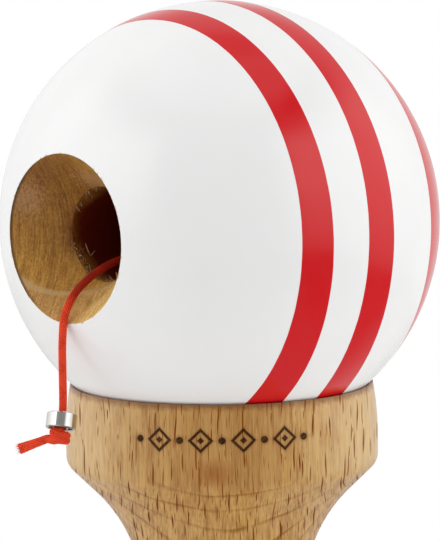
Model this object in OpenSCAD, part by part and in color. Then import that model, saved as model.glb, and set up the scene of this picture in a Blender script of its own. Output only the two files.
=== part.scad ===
// Cup and ball toy: a turned beech handle held upside down, with its cross-piece of two cups,
// and a painted ball that rests on the base cup. A thin cord ties the ball to the handle.
// The origin is the tip of the spike, and the handle's axis is +Z.

/* [Handle] */
// Length of the handle from the rim of the base cup to the tip of the spike
ken_len = 160; // [150:1:175]
// Radius of the inner edge of the base cup's rim, where the ball sits
base_rim_r = 20.35; // [19:0.05:20.6]
// Width of the flat on the base cup's rim
base_rim_flat = 0.4; // [0.1:0.05:0.5]
// Widest radius of the base cup's band
base_band_r = 21.4; // [21.2:0.05:24]
// Distance from the rim to the widest part of the band
base_band_top = 7.2; // [6:0.1:9.4]
// Height of the base cup's band
base_band_h = 9.8; // [9.5:0.1:12]
// Radius of the hollow inside the base cup
base_dish_r = 22.8; // [22:0.1:26]
// Radius of the handle's neck below the base cup
neck_r = 10.1; // [9:0.1:10.8]
// Widest radius of the grip
grip_r = 11; // [10.9:0.1:12]
// Distance from the base cup's rim to the widest part of the grip
grip_at = 62; // [58:0.5:68]
// Radius of the spike's round tip
tip_r = 3.4; // [2.5:0.1:4.5]

/* [Cross-piece] */
// Distance from the base cup's rim to the axis of the cross-piece
sarado_at = 91; // [86:0.5:98]
// Length of the cross-piece on the big cup's side of the handle
big_side = 36.5; // [35:0.5:42]
// Length of the cross-piece on the small cup's side of the handle
small_side = 34; // [33:0.5:40]
// Radius of the waist that the handle goes through
waist_r = 13.4; // [12.5:0.1:13.6]
// Radius of the inner edge of the big cup's rim
big_rim_r = 21.9; // [21:0.05:22.2]
// Widest radius of the big cup
big_band_r = 23.2; // [23.1:0.05:25]
// Radius of the hollow inside the big cup
big_dish_r = 25; // [24:0.1:28]
// Radius of the inner edge of the small cup's rim
small_rim_r = 19.7; // [19:0.05:19.9]
// Widest radius of the small cup
small_band_r = 20.9; // [20.8:0.05:22.5]
// Radius of the hollow inside the small cup
small_dish_r = 22.5; // [22:0.1:26]
// Width of the flat on the rims of both cups
cup_flat = 0.8; // [0.4:0.05:0.85]
// Height of the bands of both cups
cup_band_h = 7; // [6:0.1:8.5]
// Radius of the handle's tapered seat on the grip's side
seat_big_r = 8.6; // [8:0.05:9.2]
// Radius of the handle's tapered seat on the spike's side
seat_small_r = 6.6; // [6.2:0.05:7]
// Clearance between the tapered seat and the hole in the cross-piece
seat_clear = 0.02; // [0.01:0.01:0.1]

/* [Ball] */
// Diameter of the ball
tama_d = 60; // [58:0.5:64]
// Diameter of the mouth of the hole
mouth_d = 22.2; // [20:0.1:24]
// Diameter of the bore for the spike
bore_d = 12.6; // [11:0.1:16]
// Depth of the bevel from the mouth to the bore
bevel_depth = 6.8; // [4:0.1:9]
// Depth of the bore from the mouth to its floor
bore_depth = 44; // [36:0.5:46]
// Diameter of the cord's hole through the back of the ball
eyelet_d = 2.6; // [2:0.1:3.6]
// Angle by which the mouth of the hole dips below level
mouth_dip = 0.7; // [0:0.1:3]
// Gap between the ball and the rim that it sits on
ball_gap = 0.1; // [0.05:0.05:0.4]

/* [Cord] */
// Diameter of the cord
cord_d = 1.1; // [0.9:0.05:1.3]
// Diameter of the cord's hole through the cross-piece and the handle
cord_hole_d = 2.2; // [1.8:0.1:3]
// Turns of the cord that are wound round the grip
wrap_turns = 3.6; // [2.6:1:5.6]
// Distance between two turns of the winding
wrap_pitch = 1.8; // [1.7:0.05:2.4]
// Gap between the winding and the grip
wrap_gap = 0.1; // [0.05:0.05:0.3]
// Diameter of the knot's pocket in the handle
pocket_d = 4.6; // [4.4:0.1:5.4]
// Depth of the knot's pocket
pocket_depth = 3.6; // [3.4:0.1:4.5]

/* [Bearing bead] */
// Outer diameter of the bearing that the cord's end carries
bearing_d = 4; // [3.8:0.1:5]
// Bore of the bearing
bearing_bore = 1.5; // [1.4:0.05:1.7]
// Width of the bearing
bearing_w = 2; // [1.6:0.1:2.5]
// Wall of the bearing's outer ring
outer_wall = 0.4; // [0.3:0.02:0.5]
// Wall of the bearing's inner ring
inner_wall = 0.3; // [0.24:0.02:0.34]
// Number of balls in the bearing
bead_balls = 7; // [5:1:7]
// Clearance round each ball in its races
race_clear = 0.015; // [0.01:0.005:0.03]
// Angle by which the bearing leans from the vertical
bead_lean = 21; // [0:1:40]

/* [Hidden] */
$fn = 96;

beech = "burlywood";
paint = "white";
cord_red = "red";
steel = "silver";

// Shape of a turned cup's outside: a band, a round shoulder, a slope and a hollow flare to the neck.
shoulder_r = 2.2;
slope = 45.4;
flare_end = 21;
arc_steps = 8;
band_steps = 5;

// The cross-piece's bands are widest this far above their shoulders.
widest_above = 1;

// Sizes of the flare below each cup: the radii of its two hollow arcs.
base_flare = [21.9, 37.5];
cup_flare = [12, 50];

ball_r = tama_d / 2;
tama_z = ken_len + sqrt(ball_r ^ 2 - base_rim_r ^ 2) + ball_gap;
sarado_z = ken_len - sarado_at;
// The tapered seat runs a little past the waist on both sides.
seat_past = 1.2;
seat_start = sarado_at - waist_r - seat_past;
seat_end = sarado_at + waist_r + seat_past;
seat_mid_r = (seat_big_r + seat_small_r) / 2;

function unit(v) = v / norm(v);
function convex_arc(centre, r, from, to, steps) =
    [for (i = [0:steps]) let (a = from + (to - from) * i / steps) centre + r * [cos(a), sin(a)]];
function hollow_arc(centre, r, from, to, steps) =
    [for (i = [0:steps]) let (a = from + (to - from) * i / steps) centre - r * [cos(a), sin(a)]];
// Distance from a cup's rim plane to the centre of its ball-shaped hollow.
function dish_rise(dish_r, rim_r) = sqrt(dish_r ^ 2 - rim_r ^ 2);
// Radius of an arc that leaves a straight line square and moves aside by rise over a run.
function easing_r(run, rise) = (run ^ 2 + rise ^ 2) / (2 * rise);

// Length of the straight slope that is left between the shoulder and the flare.
function slope_rise(band_r, end_r, flare) =
    band_r - end_r - shoulder_r * (1 - cos(slope))
    - flare[0] * (cos(flare_end) - cos(slope)) - flare[1] * (1 - cos(flare_end));
// Distance from the rim at which the flare reaches the neck or the waist.
function flare_height(band_r, band_h, end_r, flare) =
    band_h + shoulder_r * sin(slope) + slope_rise(band_r, end_r, flare) / tan(slope)
    + flare[0] * (sin(slope) - sin(flare_end)) + flare[1] * sin(flare_end);
// Outline of a cup from its rim to the neck, as [radius, distance from the rim].
function cup_outline(rim_out, band_r, band_top, band_h, end_r, flare) =
    let (
        belly = easing_r(band_top, band_r - rim_out),
        lean = asin(band_top / belly),
        rise = slope_rise(band_r, end_r, flare),
        shoulder = [band_r - shoulder_r, band_h],
        slope_end = shoulder + shoulder_r * [cos(slope), sin(slope)] + [-rise, rise / tan(slope)],
        flare_centre = slope_end + flare[0] * [cos(slope), sin(slope)],
        neck_start = flare_centre - flare[0] * [cos(flare_end), sin(flare_end)],
        neck_centre = neck_start + flare[1] * [cos(flare_end), sin(flare_end)]
    )
    concat(
        convex_arc([band_r - belly, band_top], belly, -lean, 0, band_steps),
        convex_arc(shoulder, shoulder_r, 0, slope, arc_steps),
        hollow_arc(flare_centre, flare[0], slope, flare_end, arc_steps),
        hollow_arc(neck_centre, flare[1], flare_end, 0, arc_steps)
    );

// The grip swells from the neck in an S-curve, then narrows into the tapered seat.
neck_at = flare_height(base_band_r, base_band_h, neck_r, base_flare);
swell_run = (grip_at - neck_at) / 2;
swell_r = easing_r(swell_run, (grip_r - neck_r) / 2);
swell_a = asin(swell_run / swell_r);
taper_r = easing_r(seat_start - grip_at, grip_r - seat_big_r);
taper_a = asin((seat_start - grip_at) / taper_r);
function grip_radius(s) =
    s < neck_at + swell_run
    ? neck_r + swell_r - sqrt(swell_r ^ 2 - (s - neck_at) ^ 2)
    : grip_r - swell_r + sqrt(swell_r ^ 2 - (grip_at - s) ^ 2);
function grip_outline() =
    concat(
        hollow_arc([neck_r + swell_r, neck_at], swell_r, 0, -swell_a, arc_steps),
        convex_arc([grip_r - swell_r, grip_at], swell_r, -swell_a, 0, arc_steps),
        convex_arc([grip_r - taper_r, grip_at], taper_r, 0, taper_a, arc_steps)
    );
// The spike is a cone that meets its round tip without a corner.
tip_centre = ken_len - tip_r;
spike_len = tip_centre - seat_end;
spike_a = asin((seat_small_r - tip_r) / spike_len);
function spike_outline() =
    concat([[seat_small_r, seat_end]], convex_arc([0, tip_centre], tip_r, spike_a, 90, arc_steps));

function drop_repeats(p) = [for (i = [0:len(p) - 1]) if (i == 0 || norm(p[i] - p[i - 1]) > 0.001) p[i]];

// Tubes are swept along a list of points, with the directions of the two ends given.
tube_sides = 8;
function tangents(p, first, last) =
    [for (i = [0:len(p) - 1])
        i == 0 ? unit(first) : i == len(p) - 1 ? unit(last) : unit(p[i + 1] - p[i - 1])];
function carried(n, t) = unit(n - (n * t) * t);
function across(t) = carried(abs(t[2]) < 0.9 ? [0, 0, 1] : [1, 0, 0], t);
function normals(t) =
    [for (i = 0, n = across(t[0]); i < len(t); i = i + 1, n = carried(n, t[min(i, len(t) - 1)])) n];
module tube(p, d, first, last, sides = tube_sides) {
    t = tangents(p, first, last);
    n = normals(t);
    rings = len(p);
    points = [
        for (i = [0:rings - 1], k = [0:sides - 1])
            let (a = 360 * k / sides)
            p[i] + d / 2 * (cos(a) * n[i] + sin(a) * cross(t[i], n[i]))
    ];
    walls = [
        for (i = [0:rings - 2], k = [0:sides - 1])
            let (a = i * sides + k, b = i * sides + (k + 1) % sides)
            each [[a, a + sides, b], [b, a + sides, b + sides]]
    ];
    start = [for (k = [1:sides - 2]) [0, k, k + 1]];
    end = [for (k = [1:sides - 2]) let (z = (rings - 1) * sides) [z, z + k + 1, z + k]];
    polyhedron(points, concat(walls, start, end), convexity = 10);
}

// The cord is one piece from the knot in the handle to the knot under the bearing. Its points are
// [x, y, z] from the centre of the ball, or from the axis and the base cup's rim where they end in _s.
ball = [0, 0, tama_z];
back_dir = [0, cos(mouth_dip), sin(mouth_dip)];
// From the back of the ball through its bore to the lip of the mouth
through_points = [
    [0, 17, 0.2], [0, 14.5, 0], [0, 12, -0.4], [0, 9.5, -1], [0, 7, -1.7], [0, 4.5, -2.4],
    [0, 2, -2.9], [0, -0.5, -3.2], [0, -3, -3.35], [0, -5.5, -3.42], [0, -8, -3.45], [0, -10.5, -3.46],
    [0, -13, -3.48], [0, -15.5, -3.56], [0, -18, -3.84], [0, -20.3, -4.4], [0, -22.4, -5.2],
    [0, -24.2, -6.15], [0, -25.8, -7.3], [0, -27.1, -8.7], [0, -27.9, -10.2], [0, -28.2, -11.3]
];
// From the lip down to the bearing
tail_points = [[0, -28.4, -13], [0, -28.5, -15], [0, -28.5, -17], [0, -28.5, -19], [0, -28.5, -21]];
tail_start = [0, -28.3, -12];
tail_dir = [0, -0.1, -1];
// From the back of the ball over the base cup's band to the winding
run_points = [
    [0, 31.2, 0.4], [0, 32.3, -0.1], [-0.1, 33, -1.1], [-0.3, 33.2, -2.6], [-0.6, 33, -5],
    [-1, 32.3, -7.8], [-1.4, 31.3, -10.6], [-1.8, 30.1, -13.4], [-2.2, 28.9, -16.2],
    [-2.6, 27.7, -19], [-3, 26.5, -21.8]
];
run_points_s = [
    [-3.4, 25.3, 2.7], [-3.8, 24.2, 5.5], [-4.2, 23.2, 8.3], [-4.6, 22.1, 11], [-4.9, 20.8, 13.6],
    [-5.2, 19.4, 16.2], [-5.4, 18, 18.8], [-5.6, 16.6, 21.4], [-5.7, 15.2, 24], [-5.8, 13.8, 26.6],
    [-5.9, 12.4, 29.2], [-6, 11.1, 31.8], [-6.2, 10.1, 34.4], [-6.8, 9.2, 37], [-7.8, 8, 39.3],
    [-9, 6.4, 41.2], [-10.1, 4.4, 42.7], [-10.8, 2.2, 43.7]
];
wrap_at = 44.6;
wrap_angle = 190;
// From the winding down the back of the grip to the cord's hole in the cross-piece
lead_points_s = [
    [6.1, 9.6, 52], [4.1, 10.7, 53.2], [2.4, 11.3, 55], [1.2, 11.6, 57.4], [0.5, 11.8, 60],
    [0.2, 11.9, 62.8], [0, 12, 65.6], [0, 12.1, 68.4], [0, 12.2, 71.2], [0, 12.4, 74],
    [0, 12.8, 76.8], [0, 13.4, 79.6], [0, 14.1, 82.4], [0, 14.8, 85]
];
// The bend from the way down into the hole, a quarter circle that ends on the hole's axis
lead_bend = 3.2;

// The bearing hangs below the lip and leans outwards and to one side.
bead_at = [0.2, -29, -24.1];
bead_side = -61;
bead_dir = [sin(bead_lean) * cos(bead_side), sin(bead_lean) * sin(bead_side), -cos(bead_lean)];
knot_gap = 0.05;
knot_ring = [0.75, 0.6];
knot_rise = 1;
knot_len = 2 * knot_ring[1] + knot_rise;
cord_end = 5.6;
cord_end_dir = [-0.66, -0.69, -0.3];

function from_ball(p) = [for (q = p) ball + q];
function from_rim(p) = [for (q = p) [q[0], q[1], ken_len - q[2]]];
back_pole = ball + ball_r * back_dir;

// The winding follows the grip's own outline, turn beside turn.
wrap_ring_count = 24;
wrap_sides = 6;
function wrap_point(u) =
    let (s = wrap_at + wrap_pitch * u, a = wrap_angle + 360 * u, r = grip_radius(s) + cord_d / 2 + wrap_gap)
    [r * cos(a), r * sin(a), ken_len - s];
wrap_step = 1 / wrap_ring_count;
wrap_first = unit(wrap_point(wrap_step) - wrap_point(0));
wrap_last = unit(wrap_point(wrap_turns) - wrap_point(wrap_turns - wrap_step));
wrap_core = [for (i = [0:wrap_turns * wrap_ring_count]) wrap_point(i * wrap_step)];
wrap_start = wrap_core[0] - cord_d * wrap_first;
wrap_end = wrap_core[len(wrap_core) - 1] + cord_d * wrap_last;
wrap_points = concat([wrap_start], wrap_core, [wrap_end]);
self_gaps = [
    for (i = [0:len(wrap_points) - 1], k = [i + wrap_ring_count / 2:len(wrap_points) - 1])
        norm(wrap_points[i] - wrap_points[k]) - cord_d
];
echo(least_gap_of_the_winding_to_itself = min(self_gaps));

// Places the children on the ball's axis, with local +Z out of the mouth.
module on_ball_axis() {
    translate(ball) rotate([90 + mouth_dip, 0, 0]) children();
}

// Places the children on the bearing's axis, with local -Z along the cord towards its end.
module on_bead_axis() {
    translate(ball + bead_at) rotate([0, -bead_lean, bead_side]) children();
}

// Turned handle: base cup, neck, grip, tapered seat and spike in one piece of beech
module ken() {
    rim_out = base_rim_r + base_rim_flat;
    outline = drop_repeats(concat(
        cup_outline(rim_out, base_band_r, base_band_top, base_band_h, neck_r, base_flare),
        grip_outline(),
        spike_outline()
    ));
    dish_z = ken_len + dish_rise(base_dish_r, base_rim_r);
    color(beech)
    difference() {
        rotate_extrude()
            polygon(concat([[0, ken_len]], [for (p = outline) [max(p[0], 0), ken_len - p[1]]]));
        translate([0, 0, dish_z]) sphere(r = base_dish_r);
        translate([0, 0, sarado_z]) rotate([90, 0, 0]) {
            cylinder(d = cord_hole_d, h = 4 * seat_big_r, center = true);
            translate([0, 0, seat_mid_r - pocket_depth]) cylinder(d = pocket_d, h = 2 * pocket_depth);
        }
    }
}

// Outside of the cross-piece along its own axis, from the big cup's rim to the small cup's
function sarado_outline() =
    let (
        top = cup_band_h - widest_above,
        big = cup_outline(big_rim_r + cup_flat, big_band_r, top, cup_band_h, waist_r, cup_flare),
        small = cup_outline(small_rim_r + cup_flat, small_band_r, top, cup_band_h, waist_r, cup_flare)
    )
    concat(
        [[0, -big_side]],
        [for (p = big) [p[0], p[1] - big_side]],
        [for (i = [len(small) - 1:-1:0]) [small[i][0], small_side - small[i][1]]],
        [[0, small_side]]
    );

// Turned cross-piece: a big cup and a small cup on one waist, bored for the handle
module sarado() {
    big_dish_x = -big_side - dish_rise(big_dish_r, big_rim_r);
    small_dish_x = small_side + dish_rise(small_dish_r, small_rim_r);
    color(beech)
    difference() {
        translate([0, 0, sarado_z]) rotate([0, 90, 0])
            rotate_extrude() polygon(drop_repeats(sarado_outline()));
        translate([big_dish_x, 0, sarado_z]) sphere(r = big_dish_r);
        translate([small_dish_x, 0, sarado_z]) sphere(r = small_dish_r);
        translate([0, 0, ken_len - seat_end])
            cylinder(r1 = seat_small_r + seat_clear, r2 = seat_big_r + seat_clear, h = seat_end - seat_start);
        translate([0, 0, sarado_z]) rotate([-90, 0, 0]) cylinder(d = cord_hole_d, h = 2 * waist_r);
    }
}

// Painted ball with a bevelled mouth, a bore for the spike and a small hole for the cord
module tama() {
    mouth_r = mouth_d / 2;
    bore_r = bore_d / 2;
    eyelet_r = eyelet_d / 2;
    mouth_at = sqrt(ball_r ^ 2 - mouth_r ^ 2);
    bevel_at = mouth_at - bevel_depth;
    floor_at = mouth_at - bore_depth;
    drill_point = 0.4 * (bore_r - eyelet_r);
    countersink = 0.6;
    past = 1;
    mouth_past_r = bore_r + (mouth_r - bore_r) * (ball_r + past - bevel_at) / bevel_depth;
    color(paint)
    on_ball_axis() rotate_extrude() difference() {
        intersection() {
            circle(r = ball_r);
            translate([0, -tama_d]) square([tama_d, 2 * tama_d]);
        }
        polygon([
            [-past, -ball_r - past],
            [eyelet_r + countersink + past, -ball_r - past],
            [eyelet_r, -ball_r + countersink],
            [eyelet_r, floor_at - drill_point],
            [bore_r, floor_at],
            [bore_r, bevel_at],
            [mouth_past_r, ball_r + past],
            [-past, ball_r + past]
        ]);
    }
}

module string_through() {
    points = concat([back_pole], from_ball(through_points), [ball + tail_start]);
    color(cord_red) tube(points, cord_d, -back_dir, tail_dir);
}

module string_tail() {
    below = bead_at + (bearing_w / 2 + knot_gap) * bead_dir;
    above = bead_at - 1.5 * bead_dir;
    points = from_ball(concat([tail_start], tail_points, [above, bead_at, below]));
    color(cord_red) tube(points, cord_d, tail_dir, bead_dir);
}

module string_run() {
    points = concat([back_pole], from_ball(run_points), from_rim(run_points_s), [wrap_start]);
    color(cord_red) tube(points, cord_d, back_dir, wrap_first);
}

module string_wrap() {
    color(cord_red) tube(wrap_points, cord_d, wrap_first, wrap_last, wrap_sides);
}

module string_lead() {
    bend_y = lead_points_s[len(lead_points_s) - 1][1] - lead_bend;
    bend = [
        for (a = [22.5:22.5:90])
            [0, bend_y + lead_bend * cos(a), sarado_at - lead_bend + lead_bend * sin(a)]
    ];
    inside = [for (y = [8, 4, 0, pocket_depth - seat_mid_r]) [0, y, sarado_at]];
    points = concat([wrap_end], from_rim(concat(lead_points_s, bend, inside)));
    color(cord_red) tube(points, cord_d, wrap_last, [0, -1, 0]);
}

// Two turns of cord drawn tight round each other, along local +Z from 0
module knot(ring) {
    for (i = [0, 1])
        translate([0, 0, ring[1] + i * knot_rise])
            rotate_extrude() translate([ring[0], 0]) circle(r = ring[1]);
    translate([0, 0, ring[1]]) cylinder(r = ring[0], h = knot_rise);
}

// Stopper knot under the bearing, with the cord's short end
module end_knot() {
    top = -bearing_w / 2 - knot_gap;
    side = atan2(cord_end_dir[1], cord_end_dir[0]);
    fall = acos(cord_end_dir[2] / norm(cord_end_dir));
    centre = bead_at + (bearing_w / 2 + knot_gap + knot_len / 2) * bead_dir;
    color(cord_red) union() {
        on_bead_axis() translate([0, 0, top]) mirror([0, 0, 1]) knot(knot_ring);
        translate(ball + centre) rotate([0, fall, side]) cylinder(d = cord_d, h = cord_end);
    }
}

// Knot in the handle's pocket that holds the cord's other end
module anchor_knot() {
    ring = [0.95, 0.7];
    floor_y = pocket_depth - seat_mid_r;
    color(cord_red) translate([0, floor_y, sarado_z]) rotate([90, 0, 0]) knot(ring);
}

// Sizes of the bearing's inside, worked out from its bore, its outer diameter and its two walls
inner_r = bearing_bore / 2 + inner_wall;
outer_r = bearing_d / 2 - outer_wall;
pitch_r = (inner_r + outer_r) / 2;
race_depth = 0.04;
race_r = (outer_r - inner_r) / 2 + race_depth;
bead_ball_r = race_r - race_clear;
cage_wall = 0.25;
cage_bridge = 0.25;
cage_top = bead_ball_r + cage_bridge;
pocket_clear = 0.02;
ring_chamfer = 0.12;

module race_ring(from, to) {
    rotate_extrude() difference() {
        polygon([
            [from, ring_chamfer - bearing_w / 2], [from + ring_chamfer, -bearing_w / 2],
            [to - ring_chamfer, -bearing_w / 2], [to, ring_chamfer - bearing_w / 2],
            [to, bearing_w / 2 - ring_chamfer], [to - ring_chamfer, bearing_w / 2],
            [from + ring_chamfer, bearing_w / 2], [from, bearing_w / 2 - ring_chamfer]
        ]);
        translate([pitch_r, 0]) circle(r = race_r);
    }
}

module bearing_outer_ring() {
    color(steel) on_bead_axis() race_ring(outer_r, bearing_d / 2);
}

module bearing_inner_ring() {
    color(steel) on_bead_axis() race_ring(bearing_bore / 2, inner_r);
}

module ball_circle(r) {
    for (i = [0:bead_balls - 1])
        rotate([0, 0, 360 * i / bead_balls]) translate([pitch_r, 0, 0]) sphere(r = r);
}

module bearing_balls() {
    color(steel) on_bead_axis() ball_circle(bead_ball_r);
}

// Crown cage: a ring above the balls, with a pocket cut for each one
module bearing_cage() {
    color(steel) on_bead_axis() difference() {
        rotate_extrude() translate([pitch_r - cage_wall / 2, 0]) square([cage_wall, cage_top]);
        ball_circle(bead_ball_r + pocket_clear);
    }
}

ken();
sarado();
tama();
string_through();
string_tail();
string_run();
string_wrap();
string_lead();
end_knot();
anchor_knot();
bearing_outer_ring();
bearing_inner_ring();
bearing_balls();
bearing_cage();
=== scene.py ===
# %% [markdown]
# # Dressing a cup and ball toy
# The toy is a turned beech handle with a cup on its end, a cross-piece with two more cups, and a
# painted ball on a thin red cord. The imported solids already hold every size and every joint. This
# lesson keeps their places and makes what shows: grain, gloss paint, braid and polished steel.

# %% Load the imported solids
import math

import bmesh
import bpy
import numpy as np
from mathutils import Matrix, Vector


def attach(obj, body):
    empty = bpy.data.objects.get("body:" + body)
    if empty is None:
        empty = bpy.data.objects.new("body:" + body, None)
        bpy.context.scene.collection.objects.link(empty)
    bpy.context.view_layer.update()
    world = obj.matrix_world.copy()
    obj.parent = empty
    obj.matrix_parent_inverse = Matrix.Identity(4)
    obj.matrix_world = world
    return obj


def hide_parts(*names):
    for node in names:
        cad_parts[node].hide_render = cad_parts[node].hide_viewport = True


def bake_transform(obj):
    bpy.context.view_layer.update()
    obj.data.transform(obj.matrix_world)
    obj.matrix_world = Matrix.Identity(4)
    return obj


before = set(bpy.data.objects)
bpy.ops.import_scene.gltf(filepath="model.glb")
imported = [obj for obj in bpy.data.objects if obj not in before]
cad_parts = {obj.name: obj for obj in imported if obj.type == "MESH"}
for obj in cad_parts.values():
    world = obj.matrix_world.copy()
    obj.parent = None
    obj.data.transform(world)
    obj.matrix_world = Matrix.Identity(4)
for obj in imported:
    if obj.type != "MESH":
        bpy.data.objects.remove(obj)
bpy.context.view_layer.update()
MM = 0.001

# %% [markdown]
# ## The camera
# The picture was taken from slightly above the ball, with a long lens at arm's length. Placing the
# camera by azimuth and elevation round the ball is clearer than typing in a position. A slight roll
# matches the hand-held frame, and the lens shift puts the ball a little above the middle of it.

# %% Camera
HANDLE_LENGTH = 160 * MM
BALL_R = 30 * MM
BASE_RIM_R = 20.35 * MM
BALL_GAP = 0.1 * MM
BALL_CENTRE = Vector((0, 0, HANDLE_LENGTH + math.sqrt(BALL_R ** 2 - BASE_RIM_R ** 2) + BALL_GAP))
VIEW_AZIMUTH = 46.43
VIEW_ELEVATION = 5.35
VIEW_DISTANCE = 0.3857
VIEW_ROLL = -0.69
LENS, SENSOR_WIDTH = 188.37, 36
LENS_SHIFT = (0.00107, -0.09144)
NEAREST, FARTHEST = 0.02, 60


def towards_viewer(azimuth, elevation):
    """Give the direction from the ball to a viewer at these angles, in degrees."""
    a, e = math.radians(azimuth), math.radians(elevation)
    return Vector((math.sin(a) * math.cos(e), -math.cos(a) * math.cos(e), math.sin(e)))


def new_object(name, data):
    """Put a mesh, a curve, a lamp or a camera into the scene."""
    made = bpy.data.objects.new(name, data)
    bpy.context.scene.collection.objects.link(made)
    return made


camera_data = bpy.data.cameras.new("portrait_lens")
camera_data.lens = LENS
camera_data.sensor_width = SENSOR_WIDTH
camera_data.shift_x, camera_data.shift_y = LENS_SHIFT
camera_data.clip_start, camera_data.clip_end = NEAREST, FARTHEST
camera = new_object("portrait_camera", camera_data)
camera.location = BALL_CENTRE + VIEW_DISTANCE * towards_viewer(VIEW_AZIMUTH, VIEW_ELEVATION)
aim = (-towards_viewer(VIEW_AZIMUTH, VIEW_ELEVATION)).to_track_quat("-Z", "Y").to_matrix()
camera.rotation_euler = (aim @ Matrix.Rotation(math.radians(VIEW_ROLL), 3, "Z")).to_euler()
bpy.context.scene.camera = camera
print("camera at mm:", [round(v / MM, 1) for v in camera.location])

# %% [markdown]
# ## The cord's route
# One cord runs from a knot inside the handle to a knot under the steel bead. It leaves the
# cross-piece at the back, climbs the grip, winds round it, goes up over the base cup into the back of
# the ball, and comes out over the lip of the mouth. The points are the same as in the solids, so the
# cord can only lie where the solids say. A smooth curve through them hides that they are few.

# %% Winding and bead
GRIP_R, GRIP_AT = 11.0, 62.0
NECK_R, NECK_AT = 10.1, 35.593
CORD_R = 0.55
WRAP_AT = 44.6
WRAP_ANGLE = 190
WRAP_PITCH = 1.8
WRAP_TURNS = 3.6
WRAP_GAP = 0.1
WINDING_STEPS = 48
MOUTH_DIP = math.radians(0.7)
BEAD_AT = (0.2, -29, -24.1)
BEAD_LEAN, BEAD_SIDE = math.radians(21), math.radians(-61)


def from_ball(points):
    """Turn points in mm from the ball's centre into metres in the toy's frame."""
    return [BALL_CENTRE + MM * Vector(p) for p in points]


def from_rim(points):
    """Turn points in mm, with their last number counted down from the rim, into metres."""
    return [Vector((x * MM, y * MM, HANDLE_LENGTH - s * MM)) for x, y, s in points]


def grip_radius(s):
    """Give the grip's radius in mm at a distance s below the rim of the base cup."""
    run = (GRIP_AT - NECK_AT) / 2
    bend = (run ** 2 + ((GRIP_R - NECK_R) / 2) ** 2) / (GRIP_R - NECK_R)
    if s < NECK_AT + run:
        return NECK_R + bend - math.sqrt(bend ** 2 - (s - NECK_AT) ** 2)
    return GRIP_R - bend + math.sqrt(bend ** 2 - (GRIP_AT - s) ** 2)


def winding_point(turn):
    """Give a point of the winding after this many turns."""
    s = WRAP_AT + WRAP_PITCH * turn
    a = math.radians(WRAP_ANGLE + 360 * turn)
    r = grip_radius(s) + CORD_R + WRAP_GAP
    return (r * math.cos(a), r * math.sin(a), s)


winding = [
    winding_point(WRAP_TURNS - i / WINDING_STEPS) for i in range(int(WRAP_TURNS * WINDING_STEPS) + 1)
]
bead_at = from_ball([BEAD_AT])[0]
bead_down = Vector((
    math.sin(BEAD_LEAN) * math.cos(BEAD_SIDE),
    math.sin(BEAD_LEAN) * math.sin(BEAD_SIDE),
    -math.cos(BEAD_LEAN),
))
ball_back = Vector((0, math.cos(MOUTH_DIP), math.sin(MOUTH_DIP)))
back_of_ball = BALL_CENTRE + BALL_R * ball_back
print("winding:", WRAP_TURNS, "turns, bead at mm:", [round(v / MM, 1) for v in bead_at])

# %% Points of the route
CROSS_AT = 91.0
LEAD_BEND, LEAD_OUT = 3.2, 14.8
INTO_BEAD, OUT_OF_BEAD = 1.5 * MM, 1.05 * MM
inside_hole = [(0, 4, CROSS_AT), (0, 8, CROSS_AT)]
hole_bend = [
    (0, LEAD_OUT - LEAD_BEND + LEAD_BEND * math.cos(a), CROSS_AT - LEAD_BEND + LEAD_BEND * math.sin(a))
    for a in [math.radians(d) for d in (90, 67.5, 45, 22.5)]
]
lead = [
    (0, LEAD_OUT, 85), (0, 14.1, 82.4), (0, 13.4, 79.6), (0, 12.8, 76.8), (0, 12.4, 74), (0, 12.2, 71.2),
    (0, 12.1, 68.4), (0, 12, 65.6), (0.2, 11.9, 62.8), (0.5, 11.8, 60), (1.2, 11.6, 57.4),
    (2.4, 11.3, 55), (4.1, 10.7, 53.2), (6.1, 9.6, 52),
]
climb = [
    (-10.8, 2.2, 43.7), (-10.1, 4.4, 42.7), (-9, 6.4, 41.2), (-7.8, 8, 39.3), (-6.8, 9.2, 37),
    (-6.2, 10.1, 34.4), (-6, 11.1, 31.8), (-5.9, 12.4, 29.2), (-5.8, 13.8, 26.6), (-5.7, 15.2, 24),
    (-5.6, 16.6, 21.4), (-5.4, 18, 18.8), (-5.2, 19.4, 16.2), (-4.9, 20.8, 13.6), (-4.6, 22.1, 11),
    (-4.2, 23.2, 8.3), (-3.8, 24.2, 5.5), (-3.4, 25.3, 2.7),
]
over_ball = [
    (-3, 26.5, -21.8), (-2.6, 27.7, -19), (-2.2, 28.9, -16.2), (-1.8, 30.1, -13.4), (-1.4, 31.3, -10.6),
    (-1, 32.3, -7.8), (-0.6, 33, -5), (-0.3, 33.2, -2.6), (-0.1, 33, -1.1), (0, 32.3, -0.1),
    (0, 31.2, 0.4),
]
LIP_AT = (0, -28.3, -12)
through_ball = [
    (0, 17, 0.2), (0, 14.5, 0), (0, 12, -0.4), (0, 9.5, -1), (0, 7, -1.7), (0, 4.5, -2.4), (0, 2, -2.9),
    (0, -0.5, -3.2), (0, -3, -3.35), (0, -5.5, -3.42), (0, -8, -3.45), (0, -10.5, -3.46), (0, -13, -3.48),
    (0, -15.5, -3.56), (0, -18, -3.84), (0, -20.3, -4.4), (0, -22.4, -5.2), (0, -24.2, -6.15),
    (0, -25.8, -7.3), (0, -27.1, -8.7), (0, -27.9, -10.2), (0, -28.2, -11.3), LIP_AT,
]
tail = [(0, -28.4, -13), (0, -28.5, -15), (0, -28.5, -17), (0, -28.5, -19), (0, -28.5, -21)]
upper_knots = (
    from_rim(inside_hole + hole_bend + lead + winding + climb) + from_ball(over_ball) + [back_of_ball]
)
lower_knots = (
    [back_of_ball] + from_ball(through_ball + tail)
    + [bead_at - INTO_BEAD * bead_down, bead_at, bead_at + OUT_OF_BEAD * bead_down]
)
print("points of the route:", len(upper_knots), "and", len(lower_knots))

# %% A smooth line through the points
ROUTE_STEP = 0.25 * MM


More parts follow.
